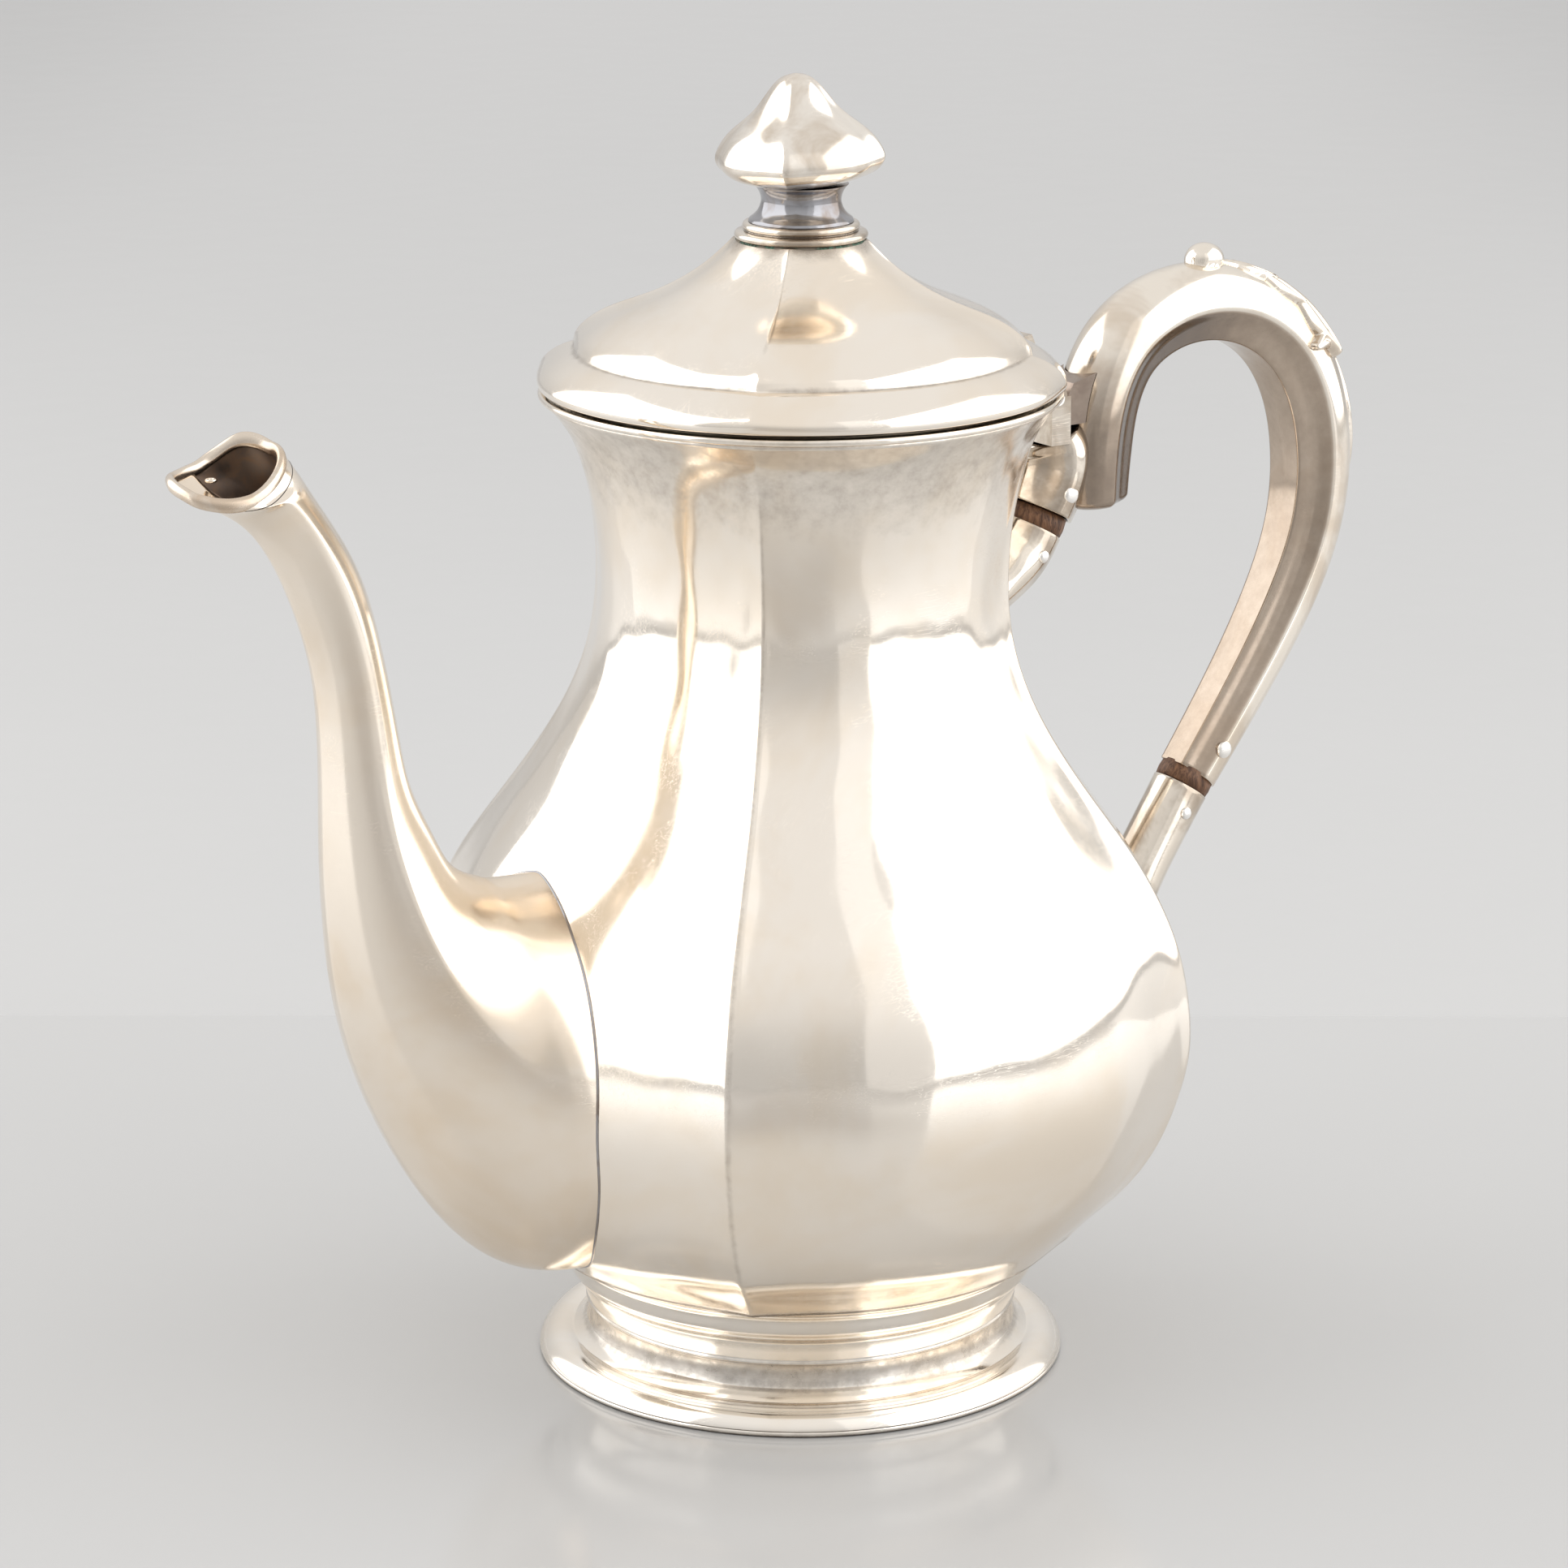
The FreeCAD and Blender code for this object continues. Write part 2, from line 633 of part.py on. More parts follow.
ferrule = ferrule_loft(0.0)
ferrule = ferrule.cut(rod(UPPER_MOUTH - UPPER_UP, UPPER_UP, dim("plug_radius") + 0.05, 11.0))
upper_hole = cross_rod(upper_rivet.x, upper_rivet.z, dim("large_rivet_radius") + 0.05, 12)
feature("upper_ferrule", ferrule.cut(upper_hole))


def insulator(start, up, collar_radius, rivets):
    """Wooden heat break: a collar of the gap's thickness with a plug to each side."""
    gap = dim("insulator_gap")
    shape = rod(start - up * gap, up, collar_radius, gap)
    shape = shape.fuse(rod(start - up * (gap + 8.5), up, dim("plug_radius"), 18.0))
    for (x, z), radius in rivets:
        shape = shape.cut(cross_rod(x, z, radius + 0.05, 12))
    return shape


def socket(path, up, rivet, clear_of):
    """Tube from the insulator to the wall of the pot, seated on it with a solder joint."""
    mouth = V(path[0][0], 0, path[0][1])
    shape = round_tube(path, up * -1).cut(clear_of)
    shape = shape.cut(rod(mouth + up, up * -1, dim("plug_radius") + 0.05, 10.0))
    return shape.cut(cross_rod(rivet[0], rivet[1], dim("small_rivet_radius") + 0.05, 12))


upper_seat = UPPER_MOUTH - UPPER_UP * dim("insulator_gap")
lower_seat = LOWER_END - LOWER_UP * dim("insulator_gap")
upper_pin = upper_seat - UPPER_UP * 4.4
lower_pin = lower_seat - LOWER_UP * 4.6
radius = dim("socket_radius")
upper_socket = socket([(upper_seat.x, upper_seat.z, radius),
                       (46.9, 138.9, radius), (41.6, 134.8, radius + 0.5), (35.5, 132.6, radius + 2.0),
                       (30.0, 131.6, radius + 3.0)],
                      UPPER_UP, (upper_pin.x, upper_pin.z), clear_body)
lower_socket = socket([(lower_seat.x, lower_seat.z, radius), (81.5, 84.2, radius),
                       (75.4, 75.0, radius + 0.3), (68.5, 64.0, radius + 1.6),
                       (61.0, 53.0, radius + 3.2)],
                      LOWER_UP, (lower_pin.x, lower_pin.z), clear_body)
feature("upper_insulator", insulator(UPPER_MOUTH, UPPER_UP, radius - 0.1, [
    ((upper_rivet.x, upper_rivet.z), dim("large_rivet_radius")),
    ((upper_pin.x, upper_pin.z), dim("small_rivet_radius"))]))
feature("upper_socket", upper_socket)
feature("lower_insulator", insulator(LOWER_END, LOWER_UP, radius - 0.1, [
    ((lower_rivet.x, lower_rivet.z), dim("large_rivet_radius")),
    ((lower_pin.x, lower_pin.z), dim("small_rivet_radius"))]))
feature("lower_socket", lower_socket)

feature("large_rivets", Part.makeCompound([
    cross_rod(upper_rivet.x, upper_rivet.z, dim("large_rivet_radius"), dim("ferrule_radius") + 0.4),
    cross_rod(lower_rivet.x, lower_rivet.z, dim("large_rivet_radius"), 6.4)]))
feature("small_rivets", Part.makeCompound([
    cross_rod(upper_pin.x, upper_pin.z, dim("small_rivet_radius"), radius + 0.4),
    cross_rod(lower_pin.x, lower_pin.z, dim("small_rivet_radius"), radius + 0.4)]))

# ---------------------------------------------------------------- hinge

hinge_x, hinge_z = dim("hinge_x"), dim("hinge_z")
knuckle = dim("knuckle_radius")
half_hinge = dim("hinge_half_width")
MIDDLE_HALF = 2.8
SIDE_PLAY = 0.15


def barrel(y_start, y_end, radius):
    return rod(V(hinge_x, y_start, hinge_z), Y_AXIS, radius, y_end - y_start)


post_foot = hinge_z - 8.7
post = Part.makeBox(4.2, 2 * half_hinge, hinge_z - post_foot, V(hinge_x - 0.6, -half_hinge, post_foot))
post = post.cut(ferrule_envelope)
for side in (-1, 1):
    inner = side * (MIDDLE_HALF + SIDE_PLAY)
    outer = side * half_hinge
    post = post.fuse(barrel(min(inner, outer), max(inner, outer), knuckle))
post = post.cut(barrel(-MIDDLE_HALF - SIDE_PLAY, MIDDLE_HALF + SIDE_PLAY, knuckle + 0.5))
post = post.cut(barrel(-20, 20, dim("pin_radius") + 0.02)).removeSplitter()
feature("hinge_post", post)

# Block between the post and the handle; its sloping top leaves room for the open lid's leaf.
LUG_HALF_WIDTH = 4.8
lug_outline = [V(hinge_x + x, -LUG_HALF_WIDTH, hinge_z + z) for x, z in (
    (3.9, -5.7), (12.0, -5.7), (12.0, 3.6), (5.4, 1.8), (3.9, -0.8), (3.9, -5.7))]
lug = Part.Face(Part.makePolygon(lug_outline)).extrude(Y_AXIS * (2 * LUG_HALF_WIDTH))
lug_pieces = lug.cut(handle_envelope).cut(ferrule_envelope).Solids
feature("hinge_lug", min(lug_pieces, key=lambda solid: solid.CenterOfMass.x))

tongue_face = Part.Face(Part.makePolygon([
    V(hinge_x - 2.2, -MIDDLE_HALF, hinge_z + 0.5), V(hinge_x + 1.6, -MIDDLE_HALF, hinge_z + 1.9),
    V(hinge_x - 2.6, -MIDDLE_HALF, hinge_z + 11.2), V(hinge_x - 6.4, -MIDDLE_HALF, hinge_z + 10.6),
    V(hinge_x - 4.2, -MIDDLE_HALF, hinge_z + 7.6), V(hinge_x - 2.2, -MIDDLE_HALF, hinge_z + 0.5)]))
tongue = tongue_face.extrude(Y_AXIS * (2 * MIDDLE_HALF))
lid_leaf = barrel(-MIDDLE_HALF, MIDDLE_HALF, knuckle).fuse(tongue)
lid_leaf = lid_leaf.cut(barrel(-20, 20, dim("pin_radius") + dim("running_clearance")))
lid_clear = revolved([(0, 170), (dim("lid_radius") + 0.5, 170), (dim("lid_radius") + 0.5, 178.6),
                      (dim("lid_radius") - 2.0, 181.0), (dim("lid_radius") - 4.5, 182.8), (0, 182.8)])
feature("hinge_lid_leaf", lid_leaf.cut(lid_clear))

pin = barrel(-half_hinge - 0.1, half_hinge + 0.1, dim("pin_radius"))
head = Part.makeSphere(1.7, V(hinge_x, -half_hinge - 0.1, hinge_z))
head = head.common(barrel(-half_hinge - 1.3, -half_hinge - 0.05, 1.7))
feature("hinge_pin", pin.fuse(head).removeSplitter())

# ---------------------------------------------------------------- check and write

doc.recompute()
for obj in doc.Objects:
    if "Invalid" in obj.State or "Error" in obj.State:
        raise RuntimeError("failed object: %s %s" % (obj.Name, obj.State))
for piece in pieces:
    if piece.Shape.isNull() or not piece.Shape.isValid() or not piece.Shape.Solids:
        raise RuntimeError("bad shape: " + piece.Label)

os.makedirs("parts", exist_ok=True)
for piece in pieces:
    piece.Shape.exportStep("parts/%s.step" % piece.Label)
    box = piece.Shape.BoundBox
    extent = (box.XMin, box.XMax, box.YMin, box.YMax, box.ZMin, box.ZMax)
    print("%-16s %d solid %8.1f mm3" % (piece.Label, len(piece.Shape.Solids), piece.Shape.Volume),
          "x %.1f..%.1f  y %.1f..%.1f  z %.1f..%.1f" % extent)
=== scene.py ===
import math

import bmesh
import bpy
import numpy as np
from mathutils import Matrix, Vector


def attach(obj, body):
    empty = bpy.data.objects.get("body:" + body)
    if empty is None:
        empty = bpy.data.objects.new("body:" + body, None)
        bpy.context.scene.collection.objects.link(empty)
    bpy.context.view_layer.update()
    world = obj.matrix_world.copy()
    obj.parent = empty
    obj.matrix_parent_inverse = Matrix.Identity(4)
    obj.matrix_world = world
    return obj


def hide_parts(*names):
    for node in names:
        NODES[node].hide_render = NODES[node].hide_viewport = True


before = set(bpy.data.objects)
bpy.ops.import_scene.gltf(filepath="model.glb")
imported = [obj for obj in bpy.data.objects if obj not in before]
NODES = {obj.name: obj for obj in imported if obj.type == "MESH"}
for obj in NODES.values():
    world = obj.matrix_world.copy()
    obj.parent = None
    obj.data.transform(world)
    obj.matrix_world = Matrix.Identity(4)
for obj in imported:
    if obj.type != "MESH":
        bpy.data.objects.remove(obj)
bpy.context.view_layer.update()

MM = 0.001
RIDGES = (45.0, 135.0, 225.0, 315.0)
CREST, CREST_FLANK = 0.13, 3.6          # pinched crest: share of the ridge's rise, and degrees


# ------------------------------ curves

def spline(knots, values):
    """Natural cubic spline through values (n, or n by k) at rising knots."""
    knots = np.asarray(knots, float)
    values = np.asarray(values, float)
    flat = values.reshape(len(knots), -1)
    step = np.diff(knots)
    system = np.eye(len(knots))
    right = np.zeros_like(flat)
    for i in range(1, len(knots) - 1):
        system[i, i - 1:i + 2] = step[i - 1], 2 * (step[i - 1] + step[i]), step[i]
        right[i] = 6 * ((flat[i + 1] - flat[i]) / step[i] - (flat[i] - flat[i - 1]) / step[i - 1])
    bend = np.linalg.solve(system, right)

    def at(x):
        x = np.asarray(x, float)
        i = np.clip(np.searchsorted(knots, x, side="right") - 1, 0, len(knots) - 2)
        a = ((knots[i + 1] - x) / step[i])[..., None]
        b = 1 - a
        width = (step[i] ** 2)[..., None] / 6
        out = a * flat[i] + b * flat[i + 1]
        out = out + ((a ** 3 - a) * bend[i] + (b ** 3 - b) * bend[i + 1]) * width
        return out.reshape(x.shape + values.shape[1:])
    return at


def chord_spline(points):
    """Spline through points, and the distance along it where it ends."""
    points = np.asarray(points, float)
    run = np.concatenate([[0.0], np.cumsum(np.linalg.norm(np.diff(points, axis=0), axis=1))])
    return spline(run, points), run[-1]


def arc(start, end, bulge, steps=10):
    """Circular arc that bows to the right of its travel by bulge."""
    start, end = np.array(start, float), np.array(end, float)
    chord = end - start
    length = math.hypot(*chord)
    across = np.array([chord[1], -chord[0]]) / length
    out = []
    for k in range(steps):
        t = k / steps
        radius = (length * length / 4 + bulge * bulge) / (2 * abs(bulge))
        x = (t - 0.5) * length
        lift = math.sqrt(max(radius * radius - x * x, 0)) - (radius - abs(bulge))
        out.append(start + chord * t + across * math.copysign(lift, bulge))
    return out


def polygon(vertices):
    """Closed outline from (r, z) or (r, z, bulge of the arc to the next vertex)."""
    out = []
    for i, vertex in enumerate(vertices):
        following = vertices[(i + 1) % len(vertices)]
        if len(vertex) == 3:
            out += arc(vertex[:2], following[:2], vertex[2])
        else:
            out.append(np.array(vertex[:2], float))
    return np.array(out)


def softened(outline, radius, spacing=0.12, turn=5.0, longest=1.6):
    """Closed outline with its corners rounded, thinned to where it bends."""
    loop = np.vstack([outline, outline[:1]])
    run = np.concatenate([[0.0], np.cumsum(np.linalg.norm(np.diff(loop, axis=0), axis=1))])
    count = max(int(run[-1] / spacing), 12)
    even = np.linspace(0, run[-1], count, endpoint=False)
    fine = np.stack([np.interp(even, run, loop[:, k]) for k in range(loop.shape[1])], axis=1)
    reach = int(math.ceil(3 * radius / spacing))
    weights = np.exp(-0.5 * (np.arange(-reach, reach + 1) * spacing / radius) ** 2)
    weights /= weights.sum()
    smooth = sum(w * np.roll(fine, -k, axis=0) for w, k in zip(weights, range(-reach, reach + 1)))
    kept = [smooth[0]]
    heading = None
    for previous, point in zip(smooth[:-1], smooth[1:]):
        ahead = math.degrees(math.atan2(point[1] - previous[1], point[0] - previous[0]))
        if heading is None:
            heading = ahead
        bent = abs((ahead - heading + 180) % 360 - 180)
        if bent > turn or np.linalg.norm(point - kept[-1]) > longest:
            kept.append(previous if bent > turn else point)
            heading = ahead
    return np.array(kept)


def smoothstep(low, high, x):
    t = np.clip((np.asarray(x, float) - low) / (high - low), 0, 1)
    return t * t * (3 - 2 * t)


# ------------------------------ meshes

def angle_steps(ridges=RIDGES, fine=0.3, widest=2.4):
    """Angles round a section, close together at each ridge."""
    angles = []
    for i, ridge in enumerate(ridges):
        span = (ridges[(i + 1) % len(ridges)] - ridge) % 360.0
        half, step = [0.0], fine
        while half[-1] + step < span / 2:
            half.append(half[-1] + step)
            step = min(step * 1.22, widest)
        angles += [ridge + a for a in half] + [ridge + span - a for a in reversed(half[1:])]
    return np.array(angles)


def ridge_factor(angle, ridges=RIDGES, rise=0.036, flank=15.0, soft=0.45, crest=0.0):
    """Radius factor of a ridged section; soft rounds the crest, crest pinches it up."""
    factor = 1.0
    for ridge in ridges:
        away = np.abs((angle - ridge + 180.0) % 360.0 - 180.0)
        away = np.sqrt(away ** 2 + soft ** 2) - soft
        factor = factor + rise * np.maximum(0, 1 - away / flank) ** 2
        factor = factor + rise * crest * np.maximum(0, 1 - away / CREST_FLANK) ** 2
    return factor


def turned_grid(outline, ridged=0.0, columns=160):
    """Rows of an outline turned about Z; ridged is one ridge rise, or one per row."""
    outline = np.asarray(outline, float)
    rise = np.broadcast_to(np.asarray(ridged, float), (len(outline),))[:, None]
    angles = angle_steps() if np.any(rise) else np.linspace(0, 360, columns, endpoint=False)
    radius = outline[:, :1] * (1 + (ridge_factor(angles[None], rise=1.0, crest=CREST) - 1) * rise)
    turn = np.radians(angles)[None]
    height = np.broadcast_to(outline[:, 1:2], radius.shape)
    return np.stack([radius * np.cos(turn), radius * np.sin(turn), height], axis=-1)


def grid_mesh(name, grids, weld=1e-6):
    """One mesh from grids of points in mm: (points, rows joined end to end, ends capped)."""
    verts, faces = [], []
    for points, ring, capped in grids:
        rows, columns = points.shape[:2]
        base = sum(len(v) for v in verts)
        verts.append(points.reshape(-1, 3))
        last = rows if ring else rows - 1
        for i in range(last):
            a, b = base + i * columns, base + (i + 1) % rows * columns
            for j in range(columns):
                k = (j + 1) % columns
                faces.append((a + j, a + k, b + k, b + j))
        if capped:
            faces.append(tuple(base + j for j in range(columns))[::-1])
            faces.append(tuple(base + (rows - 1) * columns + j for j in range(columns)))
    mesh = bpy.data.meshes.new(name)
    mesh.from_pydata((np.vstack(verts) * MM).tolist(), [], faces)
    bm = bmesh.new()
    bm.from_mesh(mesh)
    bmesh.ops.remove_doubles(bm, verts=bm.verts, dist=weld)
    bmesh.ops.dissolve_degenerate(bm, edges=bm.edges, dist=weld)
    bmesh.ops.recalc_face_normals(bm, faces=bm.faces)
    for face in bm.faces:
        face.smooth = True
    bm.to_mesh(mesh)
    bm.free()
    obj = bpy.data.objects.new(name, mesh)
    bpy.context.scene.collection.objects.link(obj)
    return obj


def paint(obj, name, shade):
    """Float attribute on the points of a piece, from their places in mm."""
    mesh = obj.data
    places = np.zeros(len(mesh.vertices) * 3, np.float32)
    mesh.vertices.foreach_get("co", places)
    values = np.asarray(shade(places.reshape(-1, 3).astype(float) / MM), np.float32)
    values = np.broadcast_to(values, (len(mesh.vertices),))
    attribute = mesh.attributes.new(name, "FLOAT", "POINT")
    attribute.data.foreach_set("value", np.clip(values, 0, 1))


def even(level):
    """Grime that is the same everywhere."""
    return lambda places: np.full(len(places), level)


def piece(name, grids, material, body="pot", slot="silver", nodes=(), grime=None):
    """A finished piece: its mesh, its grime and painted shade, its material, and the body it rides
    on.
    """
    obj = grid_mesh(name, grids)
    paint(obj, "grime", grime if grime else even(0.0))
    obj.data.materials.append(material)
    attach(obj, body)
    if nodes:
        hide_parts(*nodes)
    return obj


# ------------------------------ materials

class Graph:
    """The node tree of a material or of the world, built a node at a time."""

    def __init__(self, owner):
        owner.use_nodes = True
        self.owner = owner
        self.tree = owner.node_tree
        self.tree.nodes.clear()

    def add(self, kind, inputs=None, **settings):
        made = self.tree.nodes.new(kind)
        for key, value in settings.items():
            setattr(made, key, value)
        for key, value in (inputs or {}).items():
            if isinstance(value, bpy.types.NodeSocket):
                self.tree.links.new(value, made.inputs[key])
            else:
                made.inputs[key].default_value = value
        return made

    def math(self, operation, *values, clamp=False):
        return self.add("ShaderNodeMath", dict(enumerate(values)),
                        operation=operation, use_clamp=clamp).outputs[0]

    def dot(self, where, direction):
        return self.add("ShaderNodeVectorMath", {0: where, 1: direction},
                        operation="DOT_PRODUCT").outputs["Value"]

    def ramp(self, value, low, high, out_low=0.0, out_high=1.0):
        inputs = {"Value": value, "From Min": low, "From Max": high,
                  "To Min": out_low, "To Max": out_high}
        return self.add("ShaderNodeMapRange", inputs,
                        interpolation_type="SMOOTHSTEP").outputs[0]

    def mix(self, share, first, second):
        made = self.add("ShaderNodeMix", data_type="RGBA")
        for socket, value in ((made.inputs[0], share), (made.inputs[6], first),
                              (made.inputs[7], second)):
            if isinstance(value, bpy.types.NodeSocket):
                self.tree.links.new(value, socket)
            elif socket == made.inputs[0]:
                socket.default_value = value
            else:
                socket.default_value = (*value, 1)
        return made.outputs[2]

    def noise(self, where, scale, detail=3.0, roughness=0.55, distortion=0.0):
        return self.add("ShaderNodeTexNoise", {"Vector": where, "Scale": scale, "Detail": detail,
                                               "Roughness": roughness, "Distortion": distortion}
                        ).outputs["Fac"]

    def finish(self, shader, output="ShaderNodeOutputMaterial"):
        self.add(output, {"Surface": shader.outputs[0]})
        return self.owner

    def surface(self, colour, roughness, bump, more):
        """Finished material; bump is its strength, its distance in metres and its height."""
        bump = self.add("ShaderNodeBump", dict(zip(("Strength", "Distance", "Height"), bump)))
        return self.finish(self.add("ShaderNodeBsdfPrincipled", {
            "Base Color": colour, "Roughness": roughness, "Normal": bump.outputs["Normal"], **more}))


def millimetres(graph):
    """Place on the object, in millimetres."""
    place = graph.add("ShaderNodeTexCoord").outputs["Object"]
    return graph.add("ShaderNodeVectorMath", {0: place, 1: (1000, 1000, 1000)},
                     operation="MULTIPLY").outputs[0]


def hairlines(graph, where, turn, width):
    """Fine straight scratches that run one way, broken up along their length."""
    lying = graph.add("ShaderNodeMapping", {"Vector": where, "Rotation": turn,
                                            "Scale": (0.035, 1.1, 1.1)}).outputs[0]
    field = graph.noise(lying, 1.0, 2.0, 0.6)
    line = graph.math("ABSOLUTE", graph.math("SUBTRACT", field, 0.5))
    line = graph.ramp(line, 0.0, width, 1.0, 0.0)
    gate = graph.ramp(graph.noise(where, 0.09 + 0.02 * turn[2], 2.0), 0.5, 0.68)
    return graph.math("MULTIPLY", line, gate)


def silver(name, tint=(0.945, 0.875, 0.785), warm=(0.88, 0.745, 0.58), warm_share=0.45,
           gloss=0.06, haze=0.09, scratches=1.0, tarnish=(0.16, 0.125, 0.10), crevice=0.0,
           patch_scale=0.028, patch_edge=(0.42, 0.66), film=0.32, film_tint=None,
           mottling=0.5):
    """Polished silver: warm film in patches, hairline scratches, haze, and grime in recesses."""
    g = Graph(bpy.data.materials.new(name))
    where = millimetres(g)
    cloud = g.noise(where, patch_scale, 4.0, 0.6, 0.4)
    patch = g.ramp(cloud, *patch_edge)
    mottle = g.noise(where, 0.35, 6.0, 0.7)
    speck = g.ramp(g.noise(where, 1.3, 3.0, 0.7), 0.70, 0.80)
    lines = hairlines(g, where, (0.3, 0.5, 0.4), 0.004)
    for turn in ((1.1, -0.4, 1.9), (-0.8, 0.9, 2.8)):
        lines = g.math("MAXIMUM", lines, hairlines(g, where, turn, 0.0035))
    # the attribute carries real tarnish, and on the pot's and lid's crests a painted dark reflection
    # line
    grime = g.add("ShaderNodeAttribute", attribute_name="grime").outputs["Fac"]
    if crevice:
        hidden = g.add("ShaderNodeAmbientOcclusion", {"Distance": 0.003}, samples=6).outputs["AO"]
        grime = g.math("MAXIMUM", grime, g.ramp(hidden, 0.75, 0.15, 0.0, crevice))
    ragged = g.math("ADD", grime, g.math("MULTIPLY", g.math("SUBTRACT", mottle, 0.5),
                                            mottling))
    # tarnish colour mixed in by the attribute: real tarnish, and the painted dark reflection line on
    # the crests
    stain_and_shade = g.math("MULTIPLY", g.ramp(ragged, 0.12, 0.85), g.ramp(grime, 0.0, 0.15))
    colour = g.mix(g.math("MULTIPLY", patch, warm_share), tint, warm)
    colour = g.mix(g.math("MULTIPLY", speck, 0.10), colour, tarnish)
    if film_tint:
        tarnish = g.mix(g.ramp(ragged, 0.60, 0.95), film_tint, tarnish)
    colour = g.mix(stain_and_shade, colour, tarnish)
    roughness = g.math("ADD", g.ramp(mottle, 0.3, 0.8, gloss, gloss + haze * 0.5),
                       g.math("MULTIPLY", patch, haze * 0.5))
    roughness = g.math("ADD", roughness, g.math("MULTIPLY", lines, 0.10))
    roughness = g.math("ADD", roughness, g.math("MULTIPLY", stain_and_shade, film), clamp=True)
    height = g.math("ADD", g.math("MULTIPLY", lines, -1.0 * scratches),
                    g.math("MULTIPLY", mottle, 0.22))
    return g.surface(colour, roughness, (0.35, 0.00001, height), {"Metallic": 1.0})


def wood(name):
    """Dark stained wood with grain, for the insulating rings."""
    g = Graph(bpy.data.materials.new(name))
    where = millimetres(g)
    lying = g.add("ShaderNodeMapping", {"Vector": where, "Rotation": (0, 0.6, 0),
                                        "Scale": (1.0, 1.0, 0.12)}).outputs[0]
    grain = g.noise(lying, 1.6, 5.0, 0.65, 0.6)
    pores = g.ramp(g.noise(lying, 5.0, 2.0), 0.62, 0.72)
    colour = g.mix(g.ramp(grain, 0.3, 0.7), (0.055, 0.022, 0.010), (0.24, 0.115, 0.055))
    colour = g.mix(pores, colour, (0.02, 0.009, 0.005))
    return g.surface(colour, g.ramp(grain, 0.2, 0.8, 0.62, 0.42), (0.5, 0.00006, grain), {})


def verdigris(name):
    """Green and brown copper salts left in a joint."""
    g = Graph(bpy.data.materials.new(name))
    where = millimetres(g)
    crumbs = g.noise(where, 1.6, 6.0, 0.75)
    colour = g.mix(g.ramp(crumbs, 0.42, 0.58), (0.035, 0.030, 0.022), (0.10, 0.21, 0.145))
    colour = g.mix(g.ramp(g.noise(where, 0.35, 2.0), 0.5, 0.62), colour, (0.20, 0.17, 0.13))
    return g.surface(colour, 0.75, (0.8, 0.00015, crumbs), {"Metallic": 0.25})


def table_top(name):
    """Pale satin table with a soft sheen, a few fine marks, and painted light and shade in its
    colour.
    """
    g = Graph(bpy.data.materials.new(name))
    where = millimetres(g)
    cloud = g.noise(where, 0.006, 3.0)
    marks = hairlines(g, where, (0.0, 0.0, 0.9), 0.0015)
    away = g.add("ShaderNodeVectorMath", {0: where}, operation="LENGTH").outputs["Value"]
    near = g.mix(cloud, *TABLE_NEAR)
    # painted light: paler far off and at the sides, which the pot's edges mirror
    colour = g.mix(g.ramp(away, *FAR_RANGE), near, TABLE_FAR_PAINTED_LIGHT)
    beside = g.math("ABSOLUTE", g.dot(where, (math.sin(VIEW_BEARING), -math.cos(VIEW_BEARING), 0)))
    colour = g.mix(g.ramp(beside, *BESIDE_RANGE), colour, TABLE_SIDE_PAINTED_LIGHT)
    behind = g.dot(where, (-math.cos(VIEW_BEARING), -math.sin(VIEW_BEARING), 0))
    # paler and duller where the backdrop starts
    sweep = g.ramp(behind, TABLE_EDGE, TABLE_EDGE + 3.0)
    colour = g.mix(g.math("MULTIPLY", sweep, 0.35), colour, BACKDROP)
    # painted shade: darker in front, which the belly mirrors
    ahead = g.math("MULTIPLY", behind, -1.0)
    dim = g.math("MULTIPLY", g.ramp(ahead, *AHEAD_RANGE), g.ramp(beside, *AHEAD_SIDES))
    colour = g.mix(g.math("MULTIPLY", dim, 0.65), colour, TABLE_FRONT_PAINTED_SHADE)
    roughness = g.math("ADD", g.ramp(g.noise(where, 0.05, 5.0), 0.3, 0.7, 0.10, 0.16),
                       g.math("MULTIPLY", marks, 0.06))
    roughness = g.math("ADD", roughness, g.math("MULTIPLY", sweep, 0.4))
    return g.surface(colour, roughness, (0.25, 0.00005, g.noise(where, 0.02, 2.0)),
                     {"Specular IOR Level": 0.5})


VIEW_BEARING = math.radians(-125.0)     # from the pot towards the camera
TABLE_EDGE = 191.0                      # mm behind the pot's middle, where the backdrop starts
TABLE_NEAR = (0.540, 0.538, 0.534), (0.560, 0.559, 0.556)
# painted light: the table's colour paler far off and at the sides
TABLE_FAR_PAINTED_LIGHT, FAR_RANGE = (0.73, 0.73, 0.73), (500.0, 2100.0)          # colour, and its reach in mm
TABLE_SIDE_PAINTED_LIGHT, BESIDE_RANGE = (0.59, 0.59, 0.59), (170.0, 420.0)
# painted shade: the table's colour darker in front of the pot
TABLE_FRONT_PAINTED_SHADE, AHEAD_RANGE, AHEAD_SIDES = (0.36, 0.345, 0.33), (130.0, 380.0), (260.0, 60.0)
BACKDROP = (0.60, 0.60, 0.598)

